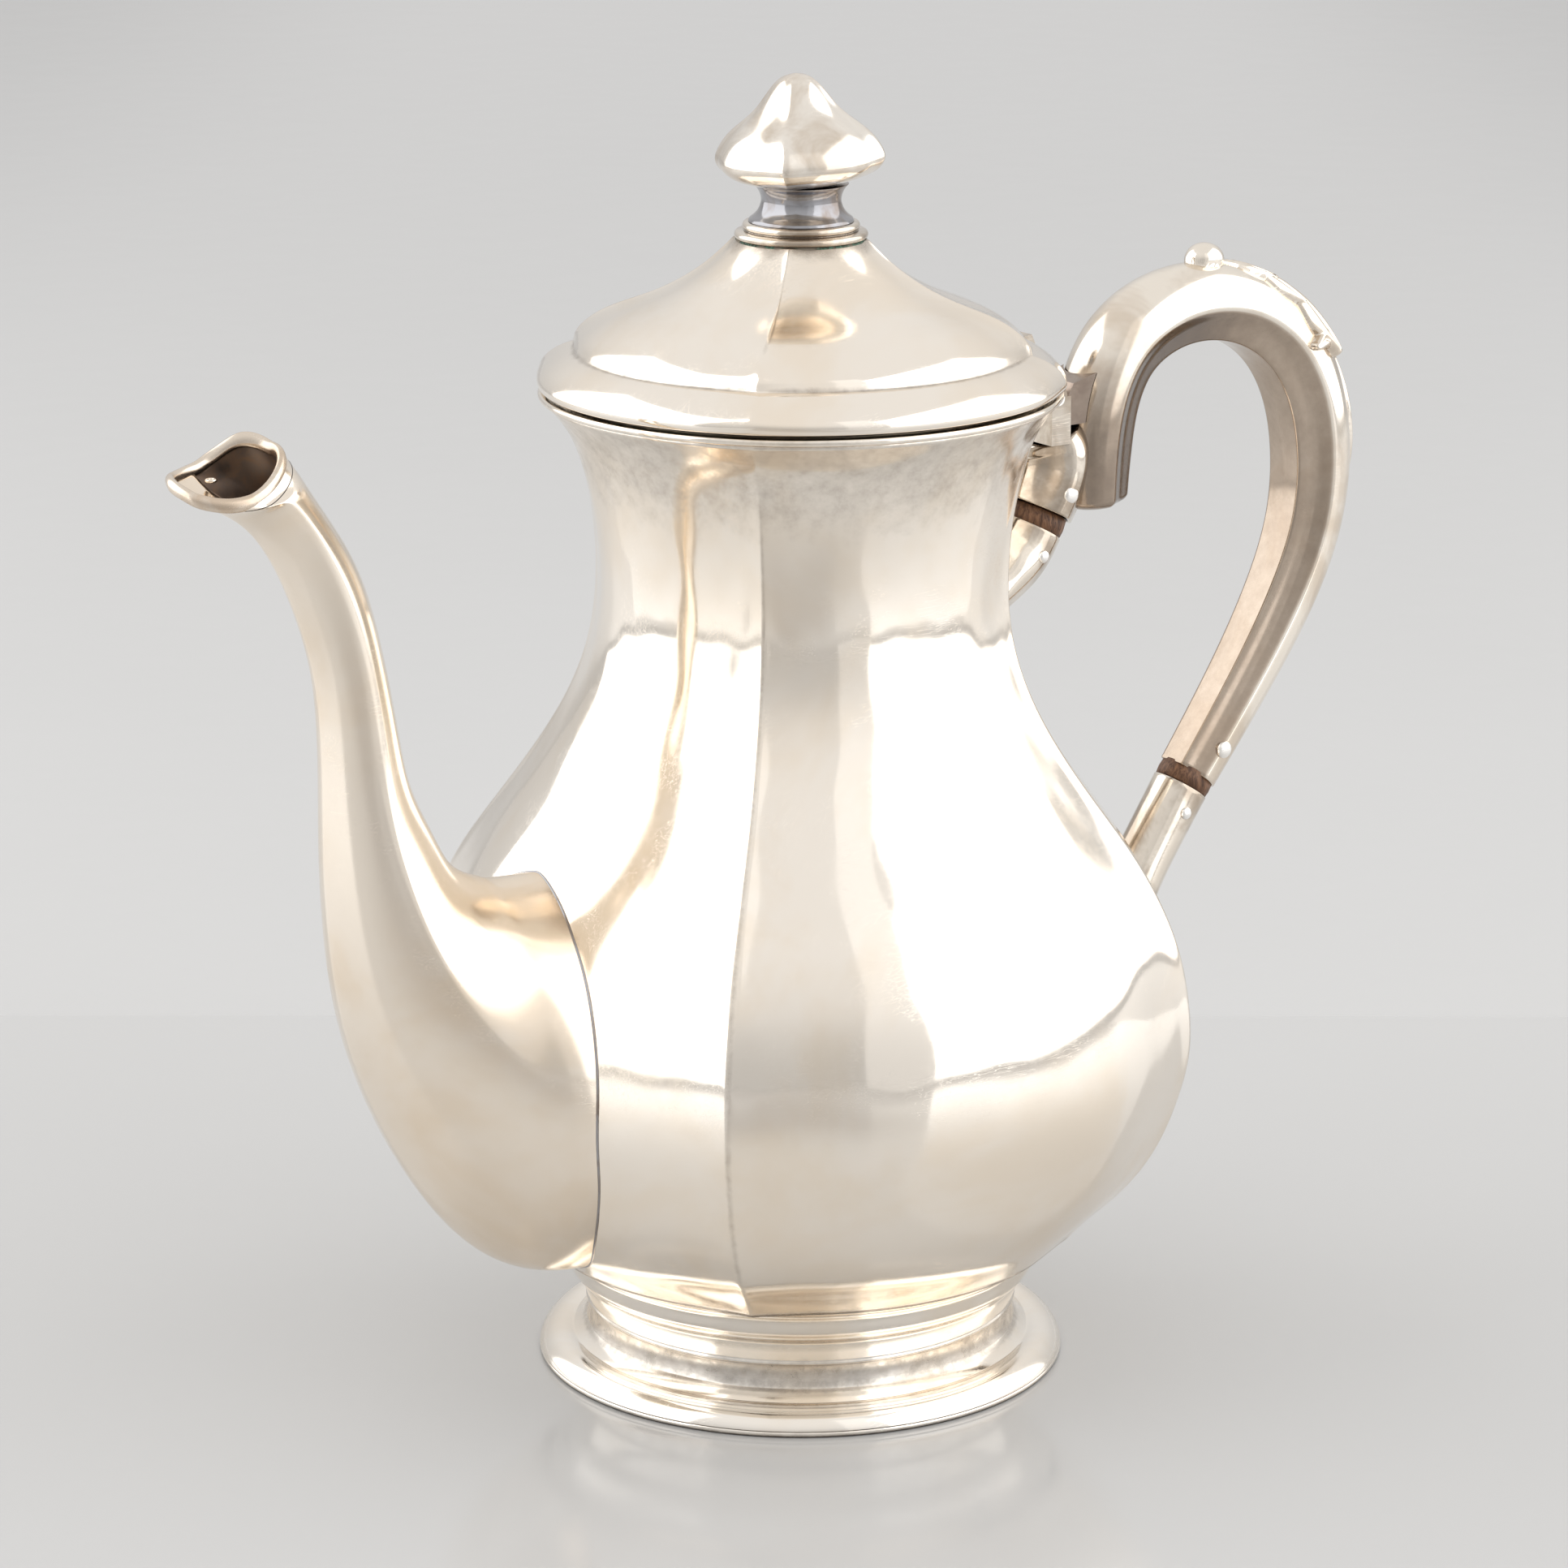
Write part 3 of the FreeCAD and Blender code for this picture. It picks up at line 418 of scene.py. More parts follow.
BODY_SILVER = silver("body_silver")
SPOUT_SILVER = silver("spout_silver", tint=(0.93, 0.84, 0.73), warm=(0.85, 0.70, 0.53),
                      warm_share=0.6, gloss=0.13)
JOINT_SILVER = silver("joint_silver", tint=(0.80, 0.725, 0.63), warm=(0.36, 0.28, 0.205),
                      warm_share=0.75, gloss=0.10, crevice=0.95, patch_scale=0.08,
                      patch_edge=(0.40, 0.64), tarnish=(0.09, 0.07, 0.06), film=0.12)
KNOB_SILVER = silver("knob_silver", tint=(0.90, 0.845, 0.77), warm=(0.54, 0.42, 0.30),
                     warm_share=0.55, gloss=0.10, patch_scale=0.10, patch_edge=(0.38, 0.68),
                     tarnish=(0.10, 0.07, 0.05), crevice=0.7, film=0.15)
HANDLE_SILVER = silver("handle_silver", tint=(0.90, 0.83, 0.735), warm=(0.62, 0.50, 0.38),
                       warm_share=0.6, gloss=0.09, tarnish=(0.22, 0.19, 0.17), film=0.02,
                       patch_scale=0.06, crevice=0.75, film_tint=(0.39, 0.30, 0.225),
                       mottling=0.18)
LUG_SILVER = silver("lug_silver", tint=(0.36, 0.29, 0.24), warm=(0.22, 0.17, 0.14),
                    warm_share=0.7, gloss=0.12, patch_scale=0.2, crevice=0.5)
STEM_SILVER = silver("stem_silver", tint=(0.36, 0.36, 0.38), warm=(0.25, 0.20, 0.165),
                     warm_share=0.8, gloss=0.10, tarnish=(0.06, 0.055, 0.05), patch_scale=0.12)
FOOT_SILVER = silver("foot_silver", tint=(0.95, 0.895, 0.82), gloss=0.08, crevice=0.9,
                     tarnish=(0.12, 0.095, 0.075))
RIVET_SILVER = silver("rivet_silver", tint=(0.95, 0.93, 0.90), warm_share=0.1, gloss=0.20,
                      crevice=0.8)
INSIDE_SILVER = silver("inside_silver", tint=(0.62, 0.55, 0.46), warm=(0.35, 0.26, 0.19),
                       warm_share=0.8, gloss=0.30, haze=0.2)
RIM_SILVER = silver("rim_silver", tint=(0.76, 0.665, 0.56), warm=(0.64, 0.50, 0.37),
                    warm_share=0.7, gloss=0.22, patch_scale=0.2)
STAIN = silver("spout_stain", tint=(0.34, 0.275, 0.235), warm=(0.50, 0.33, 0.22), warm_share=0.6,
               gloss=0.42, haze=0.2, patch_scale=0.3, scratches=2.0)
WOOD = wood("insulator_wood")
VERDIGRIS = verdigris("verdigris")


# ------------------------------ body

BODY_PROFILE = [
    # height, radius, share of the ridges' full rise
    (22.5, 46.4, 1.0), (26.0, 49.6, 1.0), (30.0, 53.8, 1.0), (38.0, 60.2, 1.0),
    (48.0, 64.6, 1.0), (58.0, 67.0, 1.0), (68.0, 66.8, 1.0), (80.0, 64.2, 1.0),
    (92.0, 58.6, 1.0), (104.0, 50.3, 1.0), (116.0, 42.5, 1.0), (128.0, 37.3, 1.0),
    (141.0, 35.3, 1.0), (152.0, 35.9, 0.9), (163.5, 38.3, 0.7), (170.1, 41.2, 0.4),
    (174.6, 44.8, 0.15)]
BODY_FOOT, BODY_TOP = BODY_PROFILE[0][0], BODY_PROFILE[-1][0]
RIDGE_RISE = 0.036
WALL = 1.0
WAVES = [
    # size in mm, waves round the body, rise of one wave in mm, phase
    (0.030, 9, 47.0, 0.4), (0.026, -13, 31.0, 2.1), (0.020, 19, -24.0, 4.0),
    (0.014, 29, 17.0, 1.2), (0.012, -37, 21.0, 5.2)]
WAVE_DEPTH, CALM = 0.1, 12      # mm that the waves lie under the surface; even stretch at each end
body_shape = spline([row[0] for row in BODY_PROFILE], [row[1:] for row in BODY_PROFILE])


def body_radius(height, angle):
    radius, share = np.moveaxis(body_shape(np.clip(height, BODY_FOOT, BODY_TOP)), -1, 0)
    factor = ridge_factor(angle, rise=1.0, crest=CREST)
    return radius * (1 + (factor - 1) * RIDGE_RISE * share)


def waviness(height, angle):
    """Slight unevenness that hand working leaves in the sheet, in mm."""
    turn = np.radians(angle)
    wave = np.zeros(np.broadcast(height, angle).shape)
    for size, round_count, pitch, phase in WAVES:
        wave = wave + size * np.sin(round_count * turn + 2 * math.pi * height / pitch + phase)
    return wave


def outside_body(points):
    """How far points in mm lie outside the pot's wall, measured along the radius."""
    angle = np.degrees(np.arctan2(points[..., 1], points[..., 0]))
    return np.hypot(points[..., 0], points[..., 1]) - body_radius(points[..., 2], angle)


def body_grid():
    up = np.linspace(BODY_FOOT, BODY_TOP, 170)
    down = np.linspace(BODY_TOP, BODY_FOOT, 90)
    outer = np.column_stack([body_shape(up)[:, 0], up, body_shape(up)[:, 1]])
    inner = np.column_stack([body_shape(down)[:, 0] - WALL, down, body_shape(down)[:, 1]])
    rows = np.vstack([outer, inner])
    points = turned_grid(rows[:, :2], RIDGE_RISE * rows[:, 2])
    angle = np.degrees(np.arctan2(points[..., 1], points[..., 0]))
    wave = waviness(points[..., 2], angle) - WAVE_DEPTH
    wave = wave * (smoothstep(BODY_FOOT, BODY_FOOT + CALM, points[..., 2])
                   * (1 - smoothstep(BODY_TOP - CALM, BODY_TOP, points[..., 2])))
    reach = np.hypot(points[..., 0], points[..., 1])
    points[..., :2] *= (1 + wave / reach)[..., None]
    return points


def from_seam(surface, angles, rows=70, tight=2.0, sunk=0.0):
    """Rows of a tube's surface(t, angle), t from 0 to 1, that start where it leaves the body."""
    steps = np.linspace(0, 1, 500)
    clear = outside_body(surface(steps[:, None], angles[None])) + sunk
    starts = []
    for j in range(len(angles)):
        inside = np.nonzero(clear[:, j] < 0)[0]
        i = min(inside[-1], len(steps) - 2) if len(inside) else 0
        drop = clear[i + 1, j] - clear[i, j]
        share = -clear[i, j] / drop if len(inside) and drop else 0.0
        starts.append(steps[i] + share * (steps[i + 1] - steps[i]))
    starts = np.array(starts)[None]
    along = (np.linspace(0, 1, rows) ** tight)[:, None]
    return surface(starts + (1 - starts) * along, angles[None]), starts[0]


def painted_crest_line(places, width=1.1):
    """Painted dark reflection line: 1 on the ridges' crests, fading to 0 over width degrees."""
    angle = np.degrees(np.arctan2(places[:, 1], places[:, 0]))
    away = np.abs((angle - RIDGES[0] + 45.0) % 90.0 - 45.0)
    return 1 - smoothstep(0, width, away)


def near_line(line, reach):
    """Shade that is 1 on a line of points in mm and fades to 0 at reach."""
    def shade(places):
        least = np.full(len(places), 1e9)
        for point in line:
            np.minimum(least, ((places - point) ** 2).sum(axis=1), out=least)
        return 1 - smoothstep(0, reach, np.sqrt(least))
    return shade


# ------------------------------ spout

SPOUT_SECTIONS = [
    # outer side x, z, inner side x, z, half width
    (-44.0, 27.0, -46.0, 95.0, 28.5), (-58.0, 28.5, -62.0, 95.5, 28.0),
    (-71.0, 36.5, -67.0, 96.8, 24.5), (-82.0, 51.0, -70.5, 98.6, 20.0),
    (-90.0, 67.5, -74.5, 102.5, 15.5), (-94.4, 84.0, -78.0, 109.5, 12.0),
    (-96.2, 103.0, -81.5, 118.0, 9.3), (-96.4, 120.0, -83.4, 127.5, 7.6),
    (-97.2, 136.0, -85.6, 139.5, 6.8), (-100.6, 149.0, -89.5, 154.0, 6.6),
    (-105.6, 159.8, -95.3, 164.6, 7.0), (-111.5, 166.4, -99.4, 170.6, 7.8),
    (-118.0, 169.9, -101.6, 174.2, 8.4), (-124.2, 173.4, -103.4, 177.4, 7.6)]
SPOUT_RIDGES = (0.0, 95.0, 180.0, 265.0)
RIM_HALF_WIDTH, RIM_HALF_HEIGHT = 0.85, 1.2
BEAK_LENGTH = 0.15      # share of the spout's run where the beak's floor is clean
BLUNT_TIP = 0.9         # mm by which the tip is drawn back
MOUTH_START = 0.86      # share of the run where the ridges begin to fade into the mouth
MOUTH_DIP = 2.5         # mm by which the mouth's two sides dip
MOUTH_TILT = 0.22       # mm that the mouth rises per mm towards +Y
MOUTH_CORNER = 2.6      # mm by which its back corner is drawn up
SPOUT_RIDGE = (0.07, 40.0, 2.5)     # rise, flank and softness of a ridge
LIP_SEAM = 0.95         # share of the run where the lip's lower edge lies
SEAM_GRIME = 0.25
BEAD_PLACE, BEAD_RADIUS, BEAD_WIRE = (-115.3, 1.6, 173.2), 0.7, 0.32
spout_shape = spline(np.arange(len(SPOUT_SECTIONS)), SPOUT_SECTIONS)
SPOUT_ANGLES = angle_steps(SPOUT_RIDGES, fine=1.2, widest=3.0)


def spout_surface(offset):
    """Surface of the spout grown by offset mm; t runs from the pot to the mouth."""
    def surface(t, angle):
        t, angle = np.broadcast_arrays(t, angle)
        outer_x, outer_z, inner_x, inner_z, half = np.moveaxis(
            spout_shape(t * (len(SPOUT_SECTIONS) - 1)), -1, 0)
        reach = np.hypot(outer_x - inner_x, outer_z - inner_z) / 2
        across_x, across_z = (outer_x - inner_x) / (2 * reach), (outer_z - inner_z) / (2 * reach)
        mouth = smoothstep(MOUTH_START, 1.0, t)
        side_ridges = smoothstep(0.12, 0.34, t)
        factor = 1 + (ridge_factor(angle, SPOUT_RIDGES[1::2], *SPOUT_RIDGE) - 1) * side_ridges
        factor = factor + (ridge_factor(angle, SPOUT_RIDGES[::2], *SPOUT_RIDGE) - 1) * (1 - mouth)
        turn = np.radians(angle)
        out = (reach + offset) * factor * np.cos(turn)
        side = (half + offset) * factor * np.sin(turn)
        beak = smoothstep(0.2, 1.0, np.cos(turn)) * mouth
        x = (outer_x + inner_x) / 2 + across_x * out
        z = (outer_z + inner_z) / 2 + across_z * out
        y = side * (1 - 0.12 * beak)
        x = x + BLUNT_TIP * beak * smoothstep(0.7, 1.0, np.cos(turn))
        z = z - MOUTH_DIP * mouth * np.sin(turn) ** 2 + MOUTH_TILT * mouth * y
        corner = smoothstep(1.0, 6.5, y) * smoothstep(0.2, -0.7, np.cos(turn))
        z = z + MOUTH_CORNER * mouth * corner
        return np.stack([x, y, z], axis=-1)
    return surface


def spout_grid():
    """Shell from the seam up to the rim and back down inside."""
    outer, starts = from_seam(spout_surface(0.0), SPOUT_ANGLES, rows=150, tight=1.6, sunk=0.25)
    steps = (np.linspace(0, 1, 90) ** 1.4)[::-1, None]
    inner = spout_surface(0.3 - WALL)(starts[None] + 0.004 + (0.996 - starts[None]) * steps,
                                      SPOUT_ANGLES[None])
    return np.concatenate([outer, inner]), starts


def rim_grid(columns=20):
    """Thick rounded rim on the mouth, taller than it is wide."""
    out, back = (spout_surface(offset)(1.0, SPOUT_ANGLES) for offset in (0.0, -WALL))
    middle = (out + back) / 2
    across = (out - back) / np.linalg.norm(out - back, axis=1, keepdims=True)
    turn = np.linspace(0, 2 * math.pi, columns, endpoint=False)[None, :, None]
    up = np.array([-0.12, 0.0, 1.0])
    return middle[:, None] + (RIM_HALF_WIDTH * np.cos(turn) * across[:, None]
                              + (RIM_HALF_HEIGHT * np.sin(turn) - 0.35) * up)


def lining_grid(starts):
    """Stained inner skin that stops short of the beak's clean floor."""
    turn = np.radians(SPOUT_ANGLES)
    ends = 0.985 - BEAK_LENGTH * smoothstep(0.30, 0.85, np.cos(turn))
    steps = (np.linspace(0, 1, 80))[:, None]
    along = starts[None] + 0.01 + (ends[None] - starts[None] - 0.01) * steps
    skin = spout_surface(-WALL)(along, SPOUT_ANGLES[None])
    back = spout_surface(0.5 - WALL)(along, SPOUT_ANGLES[None])[::-1]
    return np.concatenate([skin, back])


def bead_grid(line, radius, columns=10):
    """Thin round bead that follows a closed line of points."""
    along = np.roll(line, -1, axis=0) - np.roll(line, 1, axis=0)
    along /= np.linalg.norm(along, axis=1, keepdims=True)
    side = np.cross(along, np.array([0.0, 0.0, 1.0]) + 1e-3)
    side /= np.linalg.norm(side, axis=1, keepdims=True)
    other = np.cross(along, side)
    turn = np.linspace(0, 2 * math.pi, columns, endpoint=False)[None, :, None]
    return line[:, None] + radius * (side[:, None] * np.cos(turn) + other[:, None] * np.sin(turn))


def beak_grid():
    """Shallow clean floor of the beak, from its tip to a straight edge across the mouth."""
    rows = []
    share = np.linspace(0, 1, 17)[:, None]
    for angle in np.linspace(8, 78, 18):
        near, far = spout_surface(-0.9)(1.0, np.array([-angle, angle]))
        top = near + (far - near) * share
        top[:, 2] -= 0.45 + 0.7 * np.sin(math.pi * share[:, 0])
        rows.append(np.concatenate([top, top[::-1] - np.array([0, 0, 0.4])]))
    return np.array(rows)


def ring_at(centre, radius, steps=24):
    """Level ring of points."""
    turn = np.linspace(0, 2 * math.pi, steps, endpoint=False)
    return np.array(centre) + radius * np.stack([np.cos(turn), np.sin(turn), 0 * turn], axis=1)


spout_rows, spout_starts = spout_grid()
seam_line = from_seam(spout_surface(0.0), SPOUT_ANGLES, rows=2)[0][0]
near_seam = near_line(seam_line, 0.9)

piece("spout_shell", [(spout_rows, True, False)], SPOUT_SILVER,
      nodes=("spout_half_front", "spout_half_back"), grime=lambda p: near_seam(p) * SEAM_GRIME)
piece("spout_rim", [(rim_grid(), True, False)], RIM_SILVER, nodes=("spout_lip",))
piece("spout_lining", [(lining_grid(spout_starts), True, False)], STAIN,
      grime=even(0.12))
lip_seam = spout_surface(-0.04)(LIP_SEAM, SPOUT_ANGLES)
piece("spout_rim_seam", [(bead_grid(lip_seam, 0.09), True, False)], STEM_SILVER, grime=even(0.8))
piece("spout_beak", [(beak_grid(), False, True)], SPOUT_SILVER)
piece("spout_bead", [(bead_grid(ring_at(BEAD_PLACE, BEAD_RADIUS), BEAD_WIRE), True, False)],
      SPOUT_SILVER)
piece("spout_solder", [(bead_grid(seam_line, 0.20), True, False)], STEM_SILVER)


def pot_grime(places):
    """Tarnish at the seam, the foot, the mouth and the upper neck, and a painted dark reflection
    line on the ridges' crests.
    """
    seam = near_seam(places) * SEAM_GRIME
    base = 1 - smoothstep(BODY_FOOT, BODY_FOOT + 2.2, places[:, 2])
    mouth = smoothstep(BODY_TOP - 1.0, BODY_TOP, places[:, 2]) * 0.4
    neck = smoothstep(148.0, 166.0, places[:, 2]) * 0.32
    # painted reflection: a dark line along each ridge's crest
    crest = painted_crest_line(places) * 0.33
    return np.maximum.reduce([seam, base * 0.5, mouth, neck, crest])


piece("body_shell", [(body_grid(), True, False)], BODY_SILVER, nodes=("body",), grime=pot_grime)


# ------------------------------ turned pieces

def turned_piece(name, outline, material, radius=0.15, **words):
    rows = softened(polygon(outline), radius)
    return piece(name, [(turned_grid(rows), True, False)], material, **words)


turned_piece("mouth_wire", [(42.6, 174.6), (45.3, 174.6, 0.3), (45.3, 175.8), (42.6, 175.8)],
             BODY_SILVER, nodes=("mouth_rim",), grime=even(0.25))


def foot_grime(places):
    """Tarnish in the cove over the foot's flange."""
    cove = smoothstep(4.6, 5.6, places[:, 2]) * smoothstep(13.0, 9.5, places[:, 2])
    return cove * 0.42


turned_piece("foot_shell", [
    (41.2, 22.5), (38.5, 15.4), (37.2, 10.5), (37.2, 5.5), (40.2, 3.0), (44.2, 2.8),
    (44.2, 1.1), (47.2, 1.1, 0.35), (45.0, 3.9, 0.45), (41.0, 4.0), (39.1, 5.4),
    (38.6, 5.9, -0.35), (38.5, 10.0), (38.85, 10.4), (38.6, 10.9), (39.9, 14.7, 0.5),
    (42.6, 19.2, -0.5), (46.0, 22.5)], FOOT_SILVER, nodes=("foot",), grime=foot_grime)

turned_piece("foot_wire", [
    (43.2, 0.0), (46.85, 0.0, 0.25), (47.1, 1.1), (43.9, 1.1), (43.9, 2.5), (43.2, 2.5)],
    FOOT_SILVER, nodes=("foot_rim",), grime=even(0.2))

turned_piece("collar", [
    (1.7, 202.0), (11.2, 202.0, 0.35), (11.2, 203.3), (9.7, 203.5, 0.45), (9.7, 204.9),
    (1.7, 204.9)], JOINT_SILVER, body="lid", slot="tarnished_silver", nodes=("finial_collar",))

turned_piece("stem", [
    (1.7, 204.9), (9.2, 204.9), (8.9, 205.5, -0.45), (6.9, 208.5, -0.35), (8.3, 211.4),
    (1.7, 211.4)], STEM_SILVER, body="lid", slot="tarnished_silver", nodes=("finial_stem",))

turned_piece("collar_salts", [(9.5, 201.5), (11.25, 201.4), (11.35, 201.9), (10.9, 202.15),
                              (9.5, 202.1)], VERDIGRIS, radius=0.1, body="lid",
             slot="tarnished_silver")


# ------------------------------ lid

LID_EDGE = [
    # radius, height, ridge share
    (45.3, 176.4, 0.10), (45.7, 177.5, 0.2), (45.1, 179.0, 0.3), (43.1, 180.9, 0.4),
    (40.8, 182.2, 0.4), (39.2, 182.7, 0.4)]
LID_DOME = [
    (39.2, 182.7, 0.4), (38.7, 184.0, 0.5), (36.3, 186.5, 0.7), (31.4, 189.2, 1.0),
    (23.9, 192.2, 1.0), (20.8, 193.8, 1.0), (15.5, 197.5, 1.0), (11.0, 202.0, 1.0)]
LID_INSIDE = [
    (1.7, 202.0, 0.0), (1.7, 200.4, 0.0), (8.0, 200.4, 0.0), (14.5, 195.8, 0.0),
    (23.0, 190.7, 0.0), (29.5, 188.1, 0.0), (34.5, 185.4, 0.0), (36.8, 183.6, 0.0),
    (38.0, 179.8, 0.0), (41.2, 179.8, 0.0), (44.1, 177.8, 0.0), (44.1, 176.4, 0.0)]


def lid_outline():
    rows = []
    for part in (LID_EDGE, LID_DOME):
        shape, length = chord_spline(part)
        rows.append(shape(np.linspace(0, length, 160)))
    return softened(np.vstack([rows[0], rows[1][1:], LID_INSIDE]), 0.22, turn=4.0)


LID_RISE = 0.058
lid_rows = lid_outline()


def lid_grime(places):
    """Tarnish in the groove inside the edge and under the finial, and a painted dark reflection line
    on the crests.
    """
    radius = np.hypot(places[:, 0], places[:, 1])
    groove = 1 - smoothstep(0, 1.3, np.hypot(radius - 39.4, places[:, 2] - 182.8))
    top = 1 - smoothstep(11.0, 14.5, radius)
    # painted reflection: a dark line along each ridge's crest on the dome
    crest = painted_crest_line(places, 1.6) * smoothstep(38.5, 33.0, radius) * 0.30
    return np.maximum.reduce([groove * 0.45, top * 0.55, crest])


piece("lid_shell", [(turned_grid(lid_rows[:, :2], LID_RISE * np.clip(lid_rows[:, 2], 0, 1)),
                     True, False)], BODY_SILVER, body="lid", nodes=("lid",), grime=lid_grime)


# ------------------------------ finial knob

KNOB_RADIUS, KNOB_HEIGHT, KNOB_BASE, KNOB_LEAN = 13.9, 19.0, 211.4, math.radians(-3.5)
KNOB_SHAPE = [
    # share of the greatest radius, share of the height
    (0.45, 0.0), (0.72, 0.05), (0.93, 0.13), (1.0, 0.22), (0.955, 0.34), (0.84, 0.46),
    (0.65, 0.58), (0.49, 0.69), (0.375, 0.80), (0.27, 0.90), (0.16, 0.968), (0.0, 1.0)]


def knob_grid():
    shape, length = chord_spline([(r * KNOB_RADIUS, z * KNOB_HEIGHT) for r, z in KNOB_SHAPE])
    rows = np.vstack([[(0.0, 0.0)], shape(np.linspace(0, length, 110))])
    rows[:, 0] = np.maximum(rows[:, 0], 0)
    angles = angle_steps(fine=0.6, widest=3.0)
    factor = ridge_factor(angles[None], rise=0.065, flank=17.0, soft=2.0)
    share = smoothstep(0.0, 0.1, rows[:, :1] / KNOB_RADIUS)
    radius = rows[:, :1] * (1 + (factor - 1) * share)
    turn = np.radians(angles)[None]
    x, y = radius * np.cos(turn), radius * np.sin(turn)
    z = np.broadcast_to(rows[:, 1:], x.shape)
    lean_x = x * math.cos(KNOB_LEAN) + z * math.sin(KNOB_LEAN)
    lean_z = z * math.cos(KNOB_LEAN) - x * math.sin(KNOB_LEAN) + KNOB_BASE
    return np.stack([lean_x, y, lean_z], axis=-1)


piece("knob", [(knob_grid(), False, False)], KNOB_SILVER, body="lid", nodes=("finial_knob",))


# ------------------------------ handle

HANDLE_PATH = [
    # x, z, half thickness, half width
    (64.3, 148.8, 6.4, 6.2), (64.0, 157.0, 7.2, 7.0), (65.4, 166.5, 7.4, 7.3),
    (70.0, 175.2, 7.4, 7.5), (79.0, 180.6, 7.4, 7.6), (88.8, 181.6, 7.4, 7.6),
    (98.8, 179.0, 7.4, 7.6), (108.0, 172.0, 7.4, 7.6), (113.4, 162.5, 7.4, 7.6),
    (115.6, 150.5, 7.3, 7.5), (114.3, 137.7, 7.0, 7.2), (108.6, 123.8, 6.6, 6.7),
    (99.2, 108.9, 6.0, 6.1), (87.8, 93.3, 5.5, 5.6)]
LOWER_END, LOWER_UP = np.array([87.8, 0.0, 93.3]), np.array([0.59, 0.0, 0.807])
UPPER_MOUTH, UPPER_UP = np.array([52.2, 0.0, 147.1]), np.array([0.45, 0.0, 0.893])
GAP = 3.0
handle_shape, handle_length = chord_spline(HANDLE_PATH)


def path_frame(shape, run, step=0.05):
    """Centre, outward direction and sizes at distances along a middle-plane path."""
    row = shape(run)
    ahead = shape(run + step) - shape(run - step)
    size = np.hypot(ahead[..., 0], ahead[..., 1])
    tx, tz = ahead[..., 0] / size, ahead[..., 1] / size
    zero = np.zeros_like(tx)
    centre = np.stack([row[..., 0], zero, row[..., 1]], axis=-1)
    return centre, np.stack([-tz, zero, tx], axis=-1), row[..., 2:]


def handle_factor(angle):
    """Round outer half, and flat or hollow faces between the edges of the inner half."""
    turn = np.abs((angle + 180.0) % 360.0 - 180.0)
    edge = 1.03
    round_half = 1 + (edge - 1) * np.maximum(0, 1 - np.abs(turn - 90) / 29.0) ** 2
    middle = np.radians(turn - 119.0)
    facet = edge * math.cos(math.radians(29)) / np.cos(middle)
    facet = facet - 0.04 * np.cos(np.clip(middle / math.radians(29), -1, 1) * math.pi / 2) ** 2
    strip = edge * math.cos(math.radians(32)) / np.cos(np.radians(turn - 180.0))
    strip = strip + 0.04 * np.cos(np.clip((turn - 180.0) / 32.0, -1, 1) * math.pi / 2)
    return np.where(turn <= 90, round_half, np.where(turn <= 148, facet, strip))


HANDLE_RIDGES = (90.0, 148.0, 212.0, 270.0)
DROP_END, DROP_LEAN = 2.1, 0.04         # length of the rounded end in mm, and its lean
HANDLE_ANGLES = angle_steps(HANDLE_RIDGES, fine=1.5, widest=4.0)


def handle_surface(run, angle, lift=0.0):
    """Point on the handle, lift mm above its surface."""
    run, angle = np.broadcast_arrays(run, angle)
    centre, outward, size = path_frame(handle_shape, run)
    factor = handle_factor(angle)
    softened_by = [handle_factor(angle + d) for d in (-2.5, 2.5)]
    factor = (2 * factor + softened_by[0] + softened_by[1]) / 4
    turn = np.radians(angle)
    out = (size[..., 0] * factor + lift) * np.cos(turn)
    side = (size[..., 1] * factor + lift) * np.sin(turn)
    return centre + outward * out[..., None] + np.array([0, 1, 0]) * side[..., None]


def handle_grid():
    run = np.linspace(0, handle_length, 240)
    rows = handle_surface(run[:, None], HANDLE_ANGLES[None])
    start, lead = rows[0].mean(axis=0), np.array([DROP_LEAN, 0, -1.0])
    closing = [start + (rows[0] - start) * math.cos(t) ** 0.7 + lead * (DROP_END * math.sin(t))
               for t in np.linspace(math.pi / 2 - 0.01, 0.1, 10)]
    end = rows[-1].mean(axis=0)
    rounding = ((0.985, 0.12), (0.95, 0.16), (0.84, 0.10), (0.80, -0.3), (0.80, -4.0))
    lip = [end + (rows[-1] - end) * share - LOWER_UP * back for share, back in rounding]
    return np.concatenate([closing, rows, lip])


def handle_grime(places):
    """Tarnish on the inner faces, strongest where the handle curls over."""
    run = np.linspace(0, handle_length, 200)
    centre, outward, _ = path_frame(handle_shape, run)
    away = ((places[:, None, [0, 2]] - centre[None][:, :, [0, 2]]) ** 2).sum(-1)
    nearest = away.argmin(axis=1)
    offset = places - centre[nearest]
    out = (offset * outward[nearest]).sum(axis=1)
    angle = np.degrees(np.arctan2(np.abs(offset[:, 1]), out))
    along = run[nearest] / handle_length
    inner = smoothstep(91, 97, angle) * (0.90 - 0.24 * smoothstep(0.20, 0.42, along))
    root = (1 - smoothstep(0.06, 0.22, along)) * 0.75
    return np.maximum(inner, root)


piece("handle_shell", [(handle_grid(), False, True)], HANDLE_SILVER, nodes=("handle",),
      grime=handle_grime)


# ------------------------------ leaf on the handle

